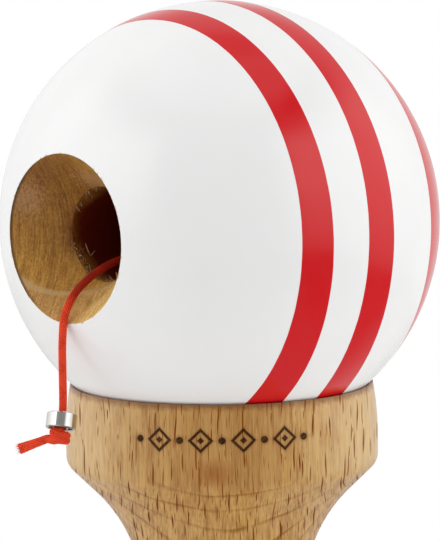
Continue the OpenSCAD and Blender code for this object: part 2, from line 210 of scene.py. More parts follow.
def steps_along(line):
    """Give the distance along a line of points at each of them."""
    return np.concatenate([[0], np.cumsum(np.linalg.norm(np.diff(line, axis=0), axis=1))])


def smooth_route(points, step=ROUTE_STEP):
    """Run a cubic curve through the points and give points at even steps along it."""
    p = np.array(points)
    t = steps_along(p)
    slope = np.gradient(p, t, axis=0)
    dense = np.linspace(0, t[-1], 6 * int(t[-1] / step))
    i = np.clip(np.searchsorted(t, dense, side="right") - 1, 0, len(t) - 2)
    h = (t[i + 1] - t[i])[:, None]
    u = ((dense - t[i])[:, None]) / h
    line = (
        (2 * u ** 3 - 3 * u ** 2 + 1) * p[i] + (u ** 3 - 2 * u ** 2 + u) * h * slope[i]
        + (3 * u ** 2 - 2 * u ** 3) * p[i + 1] + (u ** 3 - u ** 2) * h * slope[i + 1]
    )
    along = steps_along(line)
    even = np.linspace(0, along[-1], int(along[-1] / step) + 1)
    return np.column_stack([np.interp(even, along, line[:, k]) for k in range(3)])


def route_length(line):
    """Measure a line of points."""
    return float(np.linalg.norm(np.diff(line, axis=0), axis=1).sum())


upper_line = smooth_route(upper_knots)
lower_line = smooth_route(lower_knots)
upper_mm, lower_mm = (round(route_length(line) / MM) for line in (upper_line, lower_line))
print("cord in mm:", upper_mm, "up to the ball,", lower_mm, "beyond")

# %% [markdown]
# ## Helpers for node trees
# Every finish and every repeated shape below is a node tree built in code. Python can't add or multiply
# two sockets, so a small class wraps a socket and answers plus, minus, times and divided by with a Math
# node in the same tree. A few helpers name the other nodes that come back again and again. With them a
# tree reads like the formula that it works out.

# %% Values that flow through a tree


class Flow:
    """What flows out of a socket. A sum with it adds a node to the socket's tree."""

    def __init__(self, socket):
        self.socket = socket
        self.tree = socket.id_data

    def __add__(self, other):
        return calc("ADD", self, other)

    def __sub__(self, other):
        return calc("SUBTRACT", self, other)

    def __rsub__(self, other):
        return calc("SUBTRACT", other, self)

    def __mul__(self, other):
        return calc("MULTIPLY", self, other)

    def __truediv__(self, other):
        return calc("DIVIDE", self, other)

    def __abs__(self):
        return calc("ABSOLUTE", self)

    __radd__ = __add__
    __rmul__ = __mul__


def feed(node, inputs):
    """Fill a node's inputs with fixed values or with what flows in its tree."""
    for key, value in inputs.items():
        if isinstance(value, Flow):
            node.id_data.links.new(value.socket, node.inputs[key])
        else:
            node.inputs[key].default_value = value


def add_node(tree, kind, inputs=None, **settings):
    """Add a node, set its properties and fill its inputs."""
    made = tree.nodes.new(kind)
    for name, value in settings.items():
        setattr(made, name, value)
    feed(made, inputs or {})
    return made


def flow(tree, kind, inputs=None, output=0, **settings):
    """Add a node and give what flows out of one of its sockets."""
    return Flow(add_node(tree, kind, inputs, **settings).outputs[output])


def flows(node):
    """Give what flows out of every socket of a node."""
    return [Flow(socket) for socket in node.outputs]


def calc(operation, *values):
    """Do one sum on numbers or vectors, in the tree that they flow through."""
    flowing = [v for v in values if isinstance(v, Flow)]
    on_vectors = any(v.socket.type == "VECTOR" for v in flowing)
    kind = "ShaderNodeVectorMath" if on_vectors else "ShaderNodeMath"
    places = (0, "Scale") if operation == "SCALE" else range(len(values))
    output = "Value" if operation in ("DOT_PRODUCT", "LENGTH") else 0
    return flow(flowing[0].tree, kind, dict(zip(places, values)), output, operation=operation)


print("sums ready")

# %% Node helpers


def srgb(r, g, b):
    """Turn a screen colour from 0 to 255 into the linear colour that a shader wants."""
    def linear(c):
        c = c / 255
        return c / 12.92 if c <= 0.04045 else ((c + 0.055) / 1.055) ** 2.4
    return (linear(r), linear(g), linear(b), 1.0)


def ramp(value, low, high, start=0.0, end=1.0, easing="SMOOTHSTEP"):
    """Go from start to end while value goes from low to high."""
    return flow(value.tree, "ShaderNodeMapRange", {
        "Value": value, "From Min": low, "From Max": high, "To Min": start, "To Max": end,
    }, interpolation_type=easing)


def mix_colour(share, first, second, blend="MIX"):
    """Lay one colour over another by a share."""
    tree = next(v.tree for v in (share, first, second) if isinstance(v, Flow))
    return flow(
        tree, "ShaderNodeMix", {0: share, 6: first, 7: second}, 2, data_type="RGBA", blend_type=blend)


def mix_number(share, first, second):
    """Go from one number to another by a share."""
    return flow(share.tree, "ShaderNodeMix", {0: share, 2: first, 3: second})


def noise(vector, scale, detail=2.0, rough=0.5):
    """Give soft noise between 0 and 1."""
    return flow(vector.tree, "ShaderNodeTexNoise", {
        "Vector": vector, "Scale": scale, "Detail": detail, "Roughness": rough})


def cells(vector, scale):
    """Give distance, place and luck of the nearest of many scattered points."""
    nearest = add_node(vector.tree, "ShaderNodeTexVoronoi", {
        "Vector": vector, "Scale": scale, "Randomness": 1.0})
    distance, colour, place = flows(nearest)[:3]
    return distance, place, flows(add_node(vector.tree, "ShaderNodeSeparateColor", {0: colour}))


def parts(vector):
    """Split a vector into three numbers."""
    return flows(add_node(vector.tree, "ShaderNodeSeparateXYZ", {0: vector}))


def joined(x, y, z=0.0):
    """Join three numbers into a vector."""
    return flow(x.tree, "ShaderNodeCombineXYZ", {0: x, 1: y, 2: z})


def attribute(tree, name):
    """Read a number that the mesh carries."""
    return flow(tree, "ShaderNodeAttribute", output="Fac", attribute_name=name)


def bump(height, strength, distance):
    """Give the normal of a surface that rises by this distance, in mm, for a height of one."""
    return flow(height.tree, "ShaderNodeBump", {
        "Height": height, "Strength": strength, "Distance": distance * MM})


print("helpers ready")

# %% Groups and materials


def new_tree(name, tree_kind, inputs, outputs):
    """Start a node group, and give it with what flows in and the node that takes its results."""
    tree = bpy.data.node_groups.new(name, tree_kind)
    for in_out, sockets in (("INPUT", inputs), ("OUTPUT", outputs)):
        for socket, kind in sockets.items():
            tree.interface.new_socket(socket, in_out=in_out, socket_type="NodeSocket" + kind)
    given = tree.nodes.new("NodeGroupInput").outputs
    return tree, {socket: Flow(given[socket]) for socket in inputs}, tree.nodes.new("NodeGroupOutput")


def new_material(name):
    """Start a material, and give it with its shader and its position in millimetres."""
    made = bpy.data.materials.new(name)
    made.use_nodes = True
    position = flow(made.node_tree, "ShaderNodeTexCoord", output="Object")
    return made, made.node_tree.nodes["Principled BSDF"], position * ((1 / MM,) * 3)


print("ready to start groups and materials")

# %% [markdown]
# ## Beech
# Handle, cross-piece and ball come from the same pale wood. Beech shows soft growth rings and, on a
# flat-sawn face, thousands of short dark dashes: the ends of its rays. A photo of wood could be wrapped
# round a turning, but its grain would bend with the surface. A solid texture is cut through by the
# surface as real wood is, so rings turn into curves by themselves where the cup flares into the neck.

# %% Rays of the wood
RAY_DEEP = 4.3
BIG_RAYS = {"cell": (1.4, 4.8, 7.0), "half_width": 0.135, "half_lengths": (1.1, 3.2)}
SMALL_RAYS = {"cell": (1.15, 2.7, 6.0), "half_width": 0.1, "half_lengths": (0.45, 1.3)}
SMALL_RAY_DARK = 0.62


def ray_dashes(radial, tangent, grain, cell, half_width, half_lengths):
    """Mark lens-shaped dashes, one to a cell of a stretched cell pattern, each with its own length."""
    scaled = joined(tangent / cell[0], grain / cell[1], radial / cell[2])
    _, nearest, luck = cells(scaled, 1.0)
    off = [side * size for side, size in zip(parts(scaled - nearest), cell)]
    aside = abs(off[0]) / half_width
    ahead = off[1] / ramp(luck[0], 0.0, 1.0, *half_lengths, easing="LINEAR")
    deep = off[2] / RAY_DEEP
    inside = 1.0 - aside - (ahead * ahead + deep * deep)
    return ramp(inside, 0.0, 0.4) * ramp(luck[1], 0.0, 0.6, 0.5, 1.0)


print("each ray shows for", RAY_DEEP, "mm into the wood")

# %% Grain as a shared group
PITH_FAR = 140.0
beech_grain, sockets, results = new_tree(
    "beech_grain", "ShaderNodeTree",
    {"Position": "Vector", "Ring gap": "Float", "Rings": "Float", "Dashes": "Float",
     "Pale wood": "Color", "Late wood": "Color", "Ray": "Color"},
    {"Color": "Color", "Height": "Float", "Dash": "Float"},
)
place = sockets["Position"]
radial, tangent, grain = parts(place)


def grain_noise(stretch, detail=2.0, rough=0.5):
    """Give noise that is drawn out along the grain, centred on zero."""
    return noise(place * stretch, 1.0, detail, rough) - 0.5


ring_place = (
    radial + tangent * tangent * (1 / PITH_FAR)
    + 3.0 * grain_noise((0.045, 0.07, 0.03)) + 0.5 * grain_noise((0.25, 0.25, 0.12)))
ring_share = calc("FRACT", ring_place / sockets["Ring gap"])
late_wood = ramp(ring_share, 0.74, 0.93) * ramp(ring_share, 0.93, 1.0, 1.0, 0.0)
late_wood = late_wood * ramp(grain_noise((0.2, 0.2, 0.09)), -0.2, 0.15, 0.3, 1.0)
fibre = (
    0.8 * grain_noise((0.3, 0.9, 0.06)) + 1.9 * grain_noise((0.4, 2.6, 0.12), 3.0, 0.65)
    + 1.4 * grain_noise((0.6, 6.5, 0.4), 2.0, 0.6))
blotch = grain_noise((0.16, 0.16, 0.07))
sway = tangent + grain_noise((0.15, 0.15, 0.11))
big_rays = ray_dashes(radial, sway, grain, **BIG_RAYS)
small_rays = ray_dashes(radial, sway, grain, **SMALL_RAYS)
dashes = calc("MAXIMUM", big_rays, SMALL_RAY_DARK * small_rays)
shade = 0.3 + late_wood * sockets["Rings"] + fibre + 0.5 * blotch
shade = flow(beech_grain, "ShaderNodeClamp", {0: shade})
wood = mix_colour(shade, sockets["Pale wood"], sockets["Late wood"])
wood = mix_colour(dashes * sockets["Dashes"], wood, sockets["Ray"])
feed(results, {"Color": wood, "Height": 0.5 * fibre - 0.8 * dashes, "Dash": dashes})
print("grain group:", len(beech_grain.nodes), "nodes")

# %% [markdown]
# ## Varnished handle wood
# The wood is turned, sanded and given a thin satin varnish. The same grain group serves the handle and
# the cross-piece, turned to each blank: the grain runs along the axis that the piece was turned on. The
# varnish is the shader's coat, which sinks into the open dashes, so they stay dull. The base cup carries
# a plain row of burnt lozenges and dots: a sum in the angle round the axis and the height below the rim,
# so the marks wrap the cup without an unwrapped map.

# %% Burnt row
TREE_TURN = math.radians(90 - VIEW_AZIMUTH)
HANDLE_MM = HANDLE_LENGTH / MM
BAND_R = 21.4
ROW_BELOW_RIM = 4.6
ROW_PITCH = 5.4
ROW_HALF = 11.7
LOZENGE_REACH, LINE_HALF = 1.38, 0.22
HEART_REACH, DOT_R = 0.42, 0.45


def in_tree_axes(position, turn, shift=(0, 0, 0)):
    """Turn a position so that X runs across the growth rings and Z along the grain."""
    return flow(
        position.tree, "ShaderNodeMapping", {"Vector": position, "Rotation": turn, "Location": shift})


def burnt_row(position):
    """Give the distance in mm outside the nearest lozenge, dot or heart of the row."""
    x, y, z = parts(position)
    round_cup = calc("ARCTAN2", y, x) * BAND_R
    high = abs(z - (HANDLE_MM - ROW_BELOW_RIM))
    to_dot = abs(calc("WRAP", round_cup, ROW_PITCH / 2, -ROW_PITCH / 2))
    from_middle = ROW_PITCH / 2 - to_dot + high
    lozenge = abs(from_middle - LOZENGE_REACH) - LINE_HALF
    heart = from_middle - HEART_REACH
    dot = calc("LENGTH", joined(to_dot, high)) - DOT_R
    nearest = calc("MINIMUM", calc("MINIMUM", lozenge, heart), dot)
    return calc("MAXIMUM", nearest, abs(round_cup) - ROW_HALF)


print("burnt row: a mark every", ROW_PITCH / 2, "mm")

# %% Varnished beech
PALE_BEECH, LATE_BEECH, RAY_BEECH = srgb(209, 165, 97), srgb(151, 99, 36), srgb(112, 40, 3)
RING_GAP, RINGS = 2.6, 0.62
DASH_DARK = 0.97
DRY_SHINE = 0.05
VARNISH, VARNISH_ROUGHNESS = 0.85, 0.4


def place_beech(position, turn, dashes, values):
    """Put the grain group into a material, with its dashes only on faces that cut across the rays."""
    face = in_tree_axes(flow(position.tree, "ShaderNodeTexCoord", output="Normal"), turn)
    across_rays = ramp(abs(parts(face)[1]), 0.85, 0.97, dashes, 0.0)
    return add_node(
        position.tree, "ShaderNodeGroup", {"Position": position, "Dashes": across_rays, **values},
        node_tree=beech_grain)


def varnished_beech(name, turn, shift):
    """Make the satin wood, and give it with its shader, axes and grain."""
    made, shader, position = new_material(name)
    axes = in_tree_axes(position, turn, shift)
    grain = place_beech(axes, turn, DASH_DARK, {
        "Ring gap": RING_GAP, "Rings": RINGS,
        "Pale wood": PALE_BEECH, "Late wood": LATE_BEECH, "Ray": RAY_BEECH})
    feed(shader, {
        "Roughness": ramp(noise(axes, 0.35, 3.0), 0.3, 0.7, 0.34, 0.48),
        "Specular IOR Level": DRY_SHINE, "Coat Roughness": VARNISH_ROUGHNESS})
    return made, shader, axes, grain


def varnish_over(shader, colour, height, dull):
    """Link a finished colour, height and share of dull spots to the varnished shader."""
    feed(shader, {
        "Base Color": colour, "Coat Weight": ramp(dull, 0.1, 0.7, VARNISH, 0.0),
        "Normal": bump(height, strength=0.6, distance=0.02)})


print("varnish ready")

# %% [markdown]
# A toy that is held by its cup wears there. The band gets a painted pale sheen on its sides, left and
# right as the camera sees it, and a painted shade on its front under the ball's overhang, with some oil
# stain in it. A thumb left its mark, and just below the rim, where the ball sits, is a painted shade with
# some soil. Growth rings hardly show on the band. Each of these is a soft mask in millimetres along the
# tree's own axes, so it moves when one number is changed, while a painted map would have to be painted
# again.

# %% Wood of handle and cross-piece
THUMB_MARK = (21.0, -1.2, 151.2)
THUMB_STRETCH = (0.08, 0.29, 0.42)
RINGS_SET_IN, FAINT_RINGS = (8, 13), 0.15
BAND_ENDS, RIM_SHADE_ENDS = (9, 14), (0.55, 1.6)
SIDES_START, FRONT_STARTS, FRONT_ENDS = (9, 19), (4, 12), (4, 13)
CLOUDY, SCORCH_WANDER = 9.0, 0.16
CHAR_EDGE, SCORCH_EDGE = (-0.05, 0.09), (-0.05, 0.55)
SIDE_SHEEN, FRONT_SHADE_AND_OIL, THUMB_BROWN = srgb(232, 206, 159), srgb(160, 96, 12), srgb(156, 84, 4)
SCORCHED, CHARRED, RIM_SHADE_AND_SOIL = srgb(120, 70, 28), srgb(44, 19, 8), srgb(118, 64, 24)
BURNT_DEEP = 6.0
handle_wood, shader, axes, grain = varnished_beech(
    "handle_beech", turn=(0, 0, TREE_TURN), shift=(0.9, 0, 0))
colour, height, dash = flows(grain)
facing, aside, high = parts(axes)
below_rim = HANDLE_MM - high
cloud = noise(axes, 0.25, 3.0)
to_side = abs(aside) + CLOUDY * (cloud - 0.5)
on_band = ramp(below_rim, *BAND_ENDS, 1.0, 0.0)
feed(grain, {"Rings": ramp(below_rim, *RINGS_SET_IN, FAINT_RINGS, RINGS)})
# Painted sheen: the band is made paler on its sides, left and right as the camera sees it.
side_sheen = on_band * ramp(to_side, *SIDES_START, 0.0, 0.42) * ramp(dash, 0.1, 0.6, 1.0, 0.1)
colour = mix_colour(side_sheen, colour, SIDE_SHEEN)
# Painted shade on the band's front, facing the camera under the ball's overhang, with some oil stain.
front_shade_and_oil = ramp(facing, *FRONT_STARTS) * ramp(to_side, *FRONT_ENDS, 0.3, 0.0) * on_band
colour = mix_colour(front_shade_and_oil, colour, FRONT_SHADE_AND_OIL)
thumb = calc("LENGTH", (axes - THUMB_MARK) * THUMB_STRETCH) + 0.6 * cloud
colour = mix_colour(ramp(thumb, 0.3, 1.4, 0.7, 0.0), colour, THUMB_BROWN)
scorch = noise(axes, 3.5, 3.0)
outside = burnt_row(axes) + SCORCH_WANDER * (scorch - 0.5)
burnt = ramp(outside, *CHAR_EDGE, 1.0, 0.0)
colour = mix_colour(ramp(outside, *SCORCH_EDGE, 0.4, 0.0), colour, SCORCHED)
colour = mix_colour(burnt * ramp(scorch, 0.3, 0.7, 0.8, 0.97), colour, CHARRED)
# Painted shade just below the rim, where the ball sits on it, with some soil on the rim.
shaded_by_ball = ramp(below_rim + noise(axes, 1.2, 3.0), *RIM_SHADE_ENDS, 0.72, 0.0)
colour = mix_colour(shaded_by_ball, colour, RIM_SHADE_AND_SOIL)
varnish_over(shader, colour, height - BURNT_DEEP * burnt, calc("MAXIMUM", dash, burnt))
cross_wood, shader, axes, grain = varnished_beech(
    "cross_piece_beech", turn=(0, -math.pi / 2, 1.1), shift=(2.0, 7.0, 0))
varnish_over(shader, *flows(grain))
print("wood:", handle_wood.name, "and", cross_wood.name)

# %% [markdown]
# ## Turning on the lathe
# A turned piece is one outline spun about an axis. Blender's Screw modifier could spin a curve, but the
# outline here is sums of arcs that were already worked out for the solids, so a short function spins
# a list of radius and height into rings and closes the poles. More steps to an arc than the solids
# have keep the silhouette smooth up close.

# %% The lathe
SEGMENTS = 192
ARC_STEPS = 20
TINY = 1e-4
FULL_TURN = 2 * math.pi


def arc(centre, radius, start, end, steps=ARC_STEPS, hollow=False):
    """Give points on an arc from one angle to another, in degrees."""
    out = -radius if hollow else radius
    angles = [math.radians(start + (end - start) * i / steps) for i in range(steps + 1)]
    return [(centre[0] + out * math.cos(a), centre[1] + out * math.sin(a)) for a in angles]


def without_repeats(outline):
    """Drop points that lie on the one before."""
    kept = [outline[0]]
    for p in outline[1:]:
        if math.dist(p, kept[-1]) > TINY:
            kept.append(p)
    return kept


def object_from(name, mesh, place):
    """Turn a bmesh into an object, with its place worked into its points."""
    data = bpy.data.meshes.new(name)
    mesh.to_mesh(data)
    mesh.free()
    data.transform(place)
    return new_object(name, data)


def turned(name, outline, place, closed_loop=False):
    """Spin an outline of radius and height, in mm, into a mesh, and put it in its place."""
    mesh, rings = bmesh.new(), []
    turns = [FULL_TURN * k / SEGMENTS for k in range(SEGMENTS)]
    for radius, height in without_repeats(outline):
        spots = [(radius * math.cos(a), radius * math.sin(a)) for a in turns]
        if radius < TINY:
            spots = [(0, 0)]
        rings.append([mesh.verts.new((x * MM, y * MM, height * MM)) for x, y in spots])
    pairs = list(zip(rings, rings[1:]))
    if closed_loop:
        pairs.append((rings[-1], rings[0]))
    for low, high in pairs:
        for k in range(SEGMENTS):
            corners = [low[k % len(low)], low[(k + 1) % len(low)]]
            corners += [high[(k + 1) % len(high)], high[k % len(high)]]
            mesh.faces.new(list(dict.fromkeys(corners)))
    bmesh.ops.recalc_face_normals(mesh, faces=mesh.faces)
    return object_from(name, mesh, place)


def finish_surface(piece, sharp_degrees=28):
    """Shade smooth, and keep the edges that a cutter leaves sharp."""
    piece.data.polygons.foreach_set("use_smooth", [True] * len(piece.data.polygons))
    piece.data.set_sharp_from_angle(angle=math.radians(sharp_degrees))


print("lathe ready:", SEGMENTS, "segments")

# %% [markdown]
# Holes are drilled after turning, as in the workshop. A drill is a rod or a cone, and the Boolean
# modifier takes it away from the wood. The result is kept as a plain mesh, so no modifier is left.

# %% The drill
DRILL_SIDES = 64


def rod(name, radius, start, end, end_radius=None):
    """Make a plain rod or cone between two points, in mm, as a cutter."""
    start, end = Vector(start), Vector(end)
    mesh = bmesh.new()
    bmesh.ops.create_cone(
        mesh, cap_ends=True, segments=DRILL_SIDES, radius1=radius * MM,
        radius2=(radius if end_radius is None else end_radius) * MM, depth=(end - start).length * MM)
    turn = (end - start).to_track_quat("Z", "X").to_matrix().to_4x4()
    return object_from(name, mesh, Matrix.Translation((start + end) / 2 * MM) @ turn)


def baked(piece):
    """Give what an object's modifiers make of it, as a plain mesh."""
    return bpy.data.meshes.new_from_object(piece.evaluated_get(bpy.context.evaluated_depsgraph_get()))


def drilled(piece, cutters):
    """Cut holes with the Boolean modifier, keep the result, and throw the cutters away."""
    for cutter in cutters:
        cut = piece.modifiers.new("drill", "BOOLEAN")
        cut.object = cutter
        cut.solver = "EXACT"
    result = baked(piece)
    piece.modifiers.clear()
    piece.data = result
    for cutter in cutters:
        bpy.data.objects.remove(cutter)


print("drill ready:", DRILL_SIDES, "sides")

# %% [markdown]
# ## The handle
# The handle is base cup, neck, grip, tapered seat and spike in one turning. The base cup's outside is a
# barely swelling band, a round shoulder, a straight slope and two hollow arcs into the neck. Its inside
# is a shallow part of a sphere, so the ball touches only the rim.

# %% Outlines of a cup
SHOULDER_R = 2.2
SLOPE = 45.4
FLARE_END = 21


def cup_outside(rim_out, band_r, band_top, band_h, end_r, flare):
    """Give a cup's outside from its rim to the neck, as radius and distance from the rim, in mm."""
    swell = band_r - rim_out
    belly = (band_top ** 2 + swell ** 2) / (2 * swell)
    lean = math.degrees(math.asin(band_top / belly))
    c, s = math.cos(math.radians(SLOPE)), math.sin(math.radians(SLOPE))
    ec, es = math.cos(math.radians(FLARE_END)), math.sin(math.radians(FLARE_END))
    rise = band_r - end_r - SHOULDER_R * (1 - c) - flare[0] * (ec - c) - flare[1] * (1 - ec)
    shoulder = (band_r - SHOULDER_R, band_h)
    slope_end = (shoulder[0] + SHOULDER_R * c - rise, shoulder[1] + SHOULDER_R * s + rise * c / s)
    flare_centre = (slope_end[0] + flare[0] * c, slope_end[1] + flare[0] * s)
    neck_centre = (
        flare_centre[0] - flare[0] * ec + flare[1] * ec, flare_centre[1] - flare[0] * es + flare[1] * es)
    return (
        arc((band_r - belly, band_top), belly, -lean, 0)
        + arc(shoulder, SHOULDER_R, 0, SLOPE)
        + arc(flare_centre, flare[0], SLOPE, FLARE_END, hollow=True)
        + arc(neck_centre, flare[1], FLARE_END, 0, hollow=True)
    )


def dish(radius, rim_r):
    """Give a cup's hollow from its middle to its rim, as radius and distance above the rim."""
    rise = math.sqrt(radius ** 2 - rim_r ** 2)
    end = math.degrees(math.asin(rim_r / radius))
    return [(r, rise - h) for h, r in arc((0, 0), radius, 0, end, 2 * ARC_STEPS)]


print("cups slope by", SLOPE, "degrees")

# %% Turned handle
BASE_DISH_R, BASE_RIM_FLAT = 22.8, 0.4
BASE_WIDEST, BASE_BAND_H = 7.2, 9.8
BASE_FLARE = (21.9, 37.5)
SEAT_BIG_R, SEAT_SMALL_R = 8.6, 6.6
WAIST_R = 13.4
SEAT_PAST = 1.2
TIP_R = 3.4
CORD_HOLE_R, DRILL_REACH = 1.1, 20
POCKET_R, POCKET_FLOOR, POCKET_MOUTH = 2.3, -4.0, -12
cross_z = HANDLE_MM - CROSS_AT
base_rim = BASE_RIM_R / MM
base_outside = cup_outside(base_rim + BASE_RIM_FLAT, BAND_R, BASE_WIDEST, BASE_BAND_H, NECK_R, BASE_FLARE)
grip = [(grip_radius(s), s) for s in np.linspace(NECK_AT, GRIP_AT, 3 * ARC_STEPS)]
seat_start, seat_end = CROSS_AT - WAIST_R - SEAT_PAST, CROSS_AT + WAIST_R + SEAT_PAST
taper_run, taper_fall = seat_start - GRIP_AT, GRIP_R - SEAT_BIG_R
taper_bend = (taper_run ** 2 + taper_fall ** 2) / (2 * taper_fall)
taper_end = math.degrees(math.asin(taper_run / taper_bend))
taper = arc((GRIP_R - taper_bend, GRIP_AT), taper_bend, 0, taper_end)
tip_centre = HANDLE_MM - TIP_R
spike_lean = math.degrees(math.asin((SEAT_SMALL_R - TIP_R) / (tip_centre - seat_end)))
spike = [(SEAT_SMALL_R, seat_end)] + arc((0, tip_centre), TIP_R, spike_lean, 90)
handle_outline = (
    [(r, HANDLE_MM + h) for r, h in dish(BASE_DISH_R, base_rim)]
    + [(r, HANDLE_MM - s) for r, s in base_outside + grip + taper + spike]
)
handle = turned("handle", handle_outline, Matrix.Identity(4))
drilled(handle, [
    rod("cord_drill", CORD_HOLE_R, (0, -DRILL_REACH, cross_z), (0, DRILL_REACH, cross_z)),
    rod("knot_drill", POCKET_R, (0, POCKET_MOUTH, cross_z), (0, POCKET_FLOOR, cross_z)),
])
finish_surface(handle)
handle.data.materials.append(handle_wood)
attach(handle, "handle")
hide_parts("ken")
print("handle:", len(handle.data.polygons), "faces")

# %% [markdown]
# ## The cross-piece
# A big and a small cup sit back to back on one waist, and the handle's taper goes through it. It is the
# same lathe with the axis laid along X, then two holes: the tapered one for the handle and a small one
# at the back for the cord.

# %% Turned cross-piece
BIG_SIDE, SMALL_SIDE = 36.5, 34.0
CUP_FLAT = 0.8
CUP_BAND_H, CUP_WIDEST = 7.0, 6.0
CUP_FLARE = (12, 50)
SEAT_CLEAR = 0.02


def side_cup(dish_r, rim_r, band_r):
    """Give the hollow and the outside of a cup on the cross-piece."""
    outside = cup_outside(rim_r + CUP_FLAT, band_r, CUP_WIDEST, CUP_BAND_H, WAIST_R, CUP_FLARE)
    return dish(dish_r, rim_r), outside


big_hollow, big_outside = side_cup(dish_r=25, rim_r=21.9, band_r=23.2)
small_hollow, small_outside = side_cup(dish_r=22.5, rim_r=19.7, band_r=20.9)
cross_outline = (
    [(r, -BIG_SIDE - h) for r, h in big_hollow] + [(r, s - BIG_SIDE) for r, s in big_outside]
    + [(r, SMALL_SIDE - s) for r, s in reversed(small_outside)]
    + [(r, SMALL_SIDE + h) for r, h in reversed(small_hollow)]
)
along_x = Matrix.Translation((0, 0, cross_z * MM)) @ Matrix.Rotation(math.pi / 2, 4, "Y")
cross_piece = turned("cross_piece", cross_outline, along_x)
drilled(cross_piece, [
    rod("taper_drill", SEAT_SMALL_R + SEAT_CLEAR, (0, 0, HANDLE_MM - seat_end),
        (0, 0, HANDLE_MM - seat_start), SEAT_BIG_R + SEAT_CLEAR),
    rod("cross_cord_drill", CORD_HOLE_R, (0, 0, cross_z), (0, DRILL_REACH, cross_z)),
])
finish_surface(cross_piece)
cross_piece.data.materials.append(cross_wood)
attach(cross_piece, "handle")
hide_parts("sarado")
print("cross-piece:", len(cross_piece.data.polygons), "faces")

# %% [markdown]
# ## Gloss paint on the ball
# The ball is sprayed white, masked, and striped in red round the axis of its hole. Each edge of a stripe
# is an angle from that axis, so a sum in the shader draws it anywhere on the ball. Masking tape is laid
# by hand, so every edge gets its own small tilt. The masked layer leaves a tiny step, the spray a faint
# orange peel, and knocks a few chips at the mouth, all of them bump or colour in the same material.

# %% Stripes
MOUTH_R, BORE_R = 11.1, 6.3
MOUTH_ANGLE = math.degrees(math.asin(MOUTH_R * MM / BALL_R))
STRIPE_EDGES = (
    (67.38, -0.55, 0.24), (75.66, -0.25, 1.16), (86.05, 0.19, 0.0), (94.74, 0.62, 1.08),
    (115.91, 0.0, 0.7),
)
EDGE_SOFT = 0.05
hole_axis = -ball_back


def tape_axis(yaw, dip):
    """Give the axis of one masked edge, turned aside and dipped from straight ahead by these degrees."""
    y, d = math.radians(yaw), math.radians(dip)
    return Vector((math.sin(y) * math.cos(d), -math.cos(y) * math.cos(d), -math.sin(d)))


def angle_from(direction, axis):
    """Measure a direction's angle from an axis, in degrees."""
    return calc("DEGREES", calc("ARCCOSINE", calc("DOT_PRODUCT", direction, axis)))


def striped(direction, wander):
    """Mark the red rings: every second edge starts one, and the next edge ends it."""
    red = 0.0
    for i, (at, yaw, dip) in enumerate(STRIPE_EDGES):
        angle = angle_from(direction, tape_axis(yaw, dip)) + wander
        past = ramp(angle, at - EDGE_SOFT, at + EDGE_SOFT)
        red = red + past if i % 2 == 0 else red - past
    return red


print("stripes:", (len(STRIPE_EDGES) + 1) // 2)

# %% Paint
WHITES = srgb(241, 241, 241), srgb(245, 245, 244)
REDS = srgb(208, 20, 27), srgb(212, 24, 30)
SPECK_GREY, CHIPPED_WOOD = srgb(150, 140, 132), srgb(186, 150, 104)
TAPE_WANDER, SPECK_DARK, CHIP_PALE = 0.14, 0.22, 0.8
PEEL, TAPE_STEP, CHIP_DEEP = 0.16, 0.6, 1.5
ball_paint, shader, position = new_material("gloss_paint")
from_centre = position - BALL_CENTRE / MM
outwards = calc("NORMALIZE", from_centre)
red = striped(outwards, TAPE_WANDER * (noise(from_centre, 0.5) - 0.5))
cloud = noise(from_centre, 0.08)
coat = mix_colour(red, mix_colour(cloud, *WHITES), mix_colour(cloud, *REDS))
to_speck, _, speck_luck = cells(from_centre, 0.19)
speck = ramp(to_speck, 0.014, 0.026, 1.0, 0.0) * ramp(speck_luck[0], 0.5, 0.75)
coat = mix_colour(SPECK_DARK * speck, coat, SPECK_GREY)
chip_reach = ramp(noise(from_centre, 1.5), 0.52, 0.75, 0.02, 0.85)
chip = ramp(angle_from(outwards, hole_axis) - MOUTH_ANGLE, 0.0, chip_reach, 1.0, 0.0)
coat = mix_colour(CHIP_PALE * chip, coat, CHIPPED_WOOD)
relief = PEEL * noise(from_centre, 0.9) + (TAPE_STEP * red - (speck + CHIP_DEEP * chip))
feed(shader, {
    "Base Color": coat,
    "Roughness": ramp(noise(from_centre, 0.3, 4.0), 0.3, 0.75, 0.1, 0.2),
    "Normal": bump(relief, strength=1.0, distance=0.02)})
print("paint:", len(ball_paint.node_tree.nodes), "nodes")

# %% [markdown]
# ## Bare wood in the hole
# The bevel and the bore are cut after painting, so they show the ball's own wood under a coat of oil. The
# same grain group serves again, turned for this blank and deeper in colour. A tint that grows upwards
# adds painted shade. One pale ring of the tree crosses the bevel, which is a thin flat layer in the wood,
# and the low wedge beyond it is left without that tint, a painted pool of light; the right side is
# painted paler too. Two pale grey spots, broken up by the same nap as the bump, are a painted sheen on
# the left of the bevel and dust in the rough cut at its top. The bore is darkened almost black as painted
# shade, and its edge is ragged, so the dark sets in by the depth along the hole plus some noise.

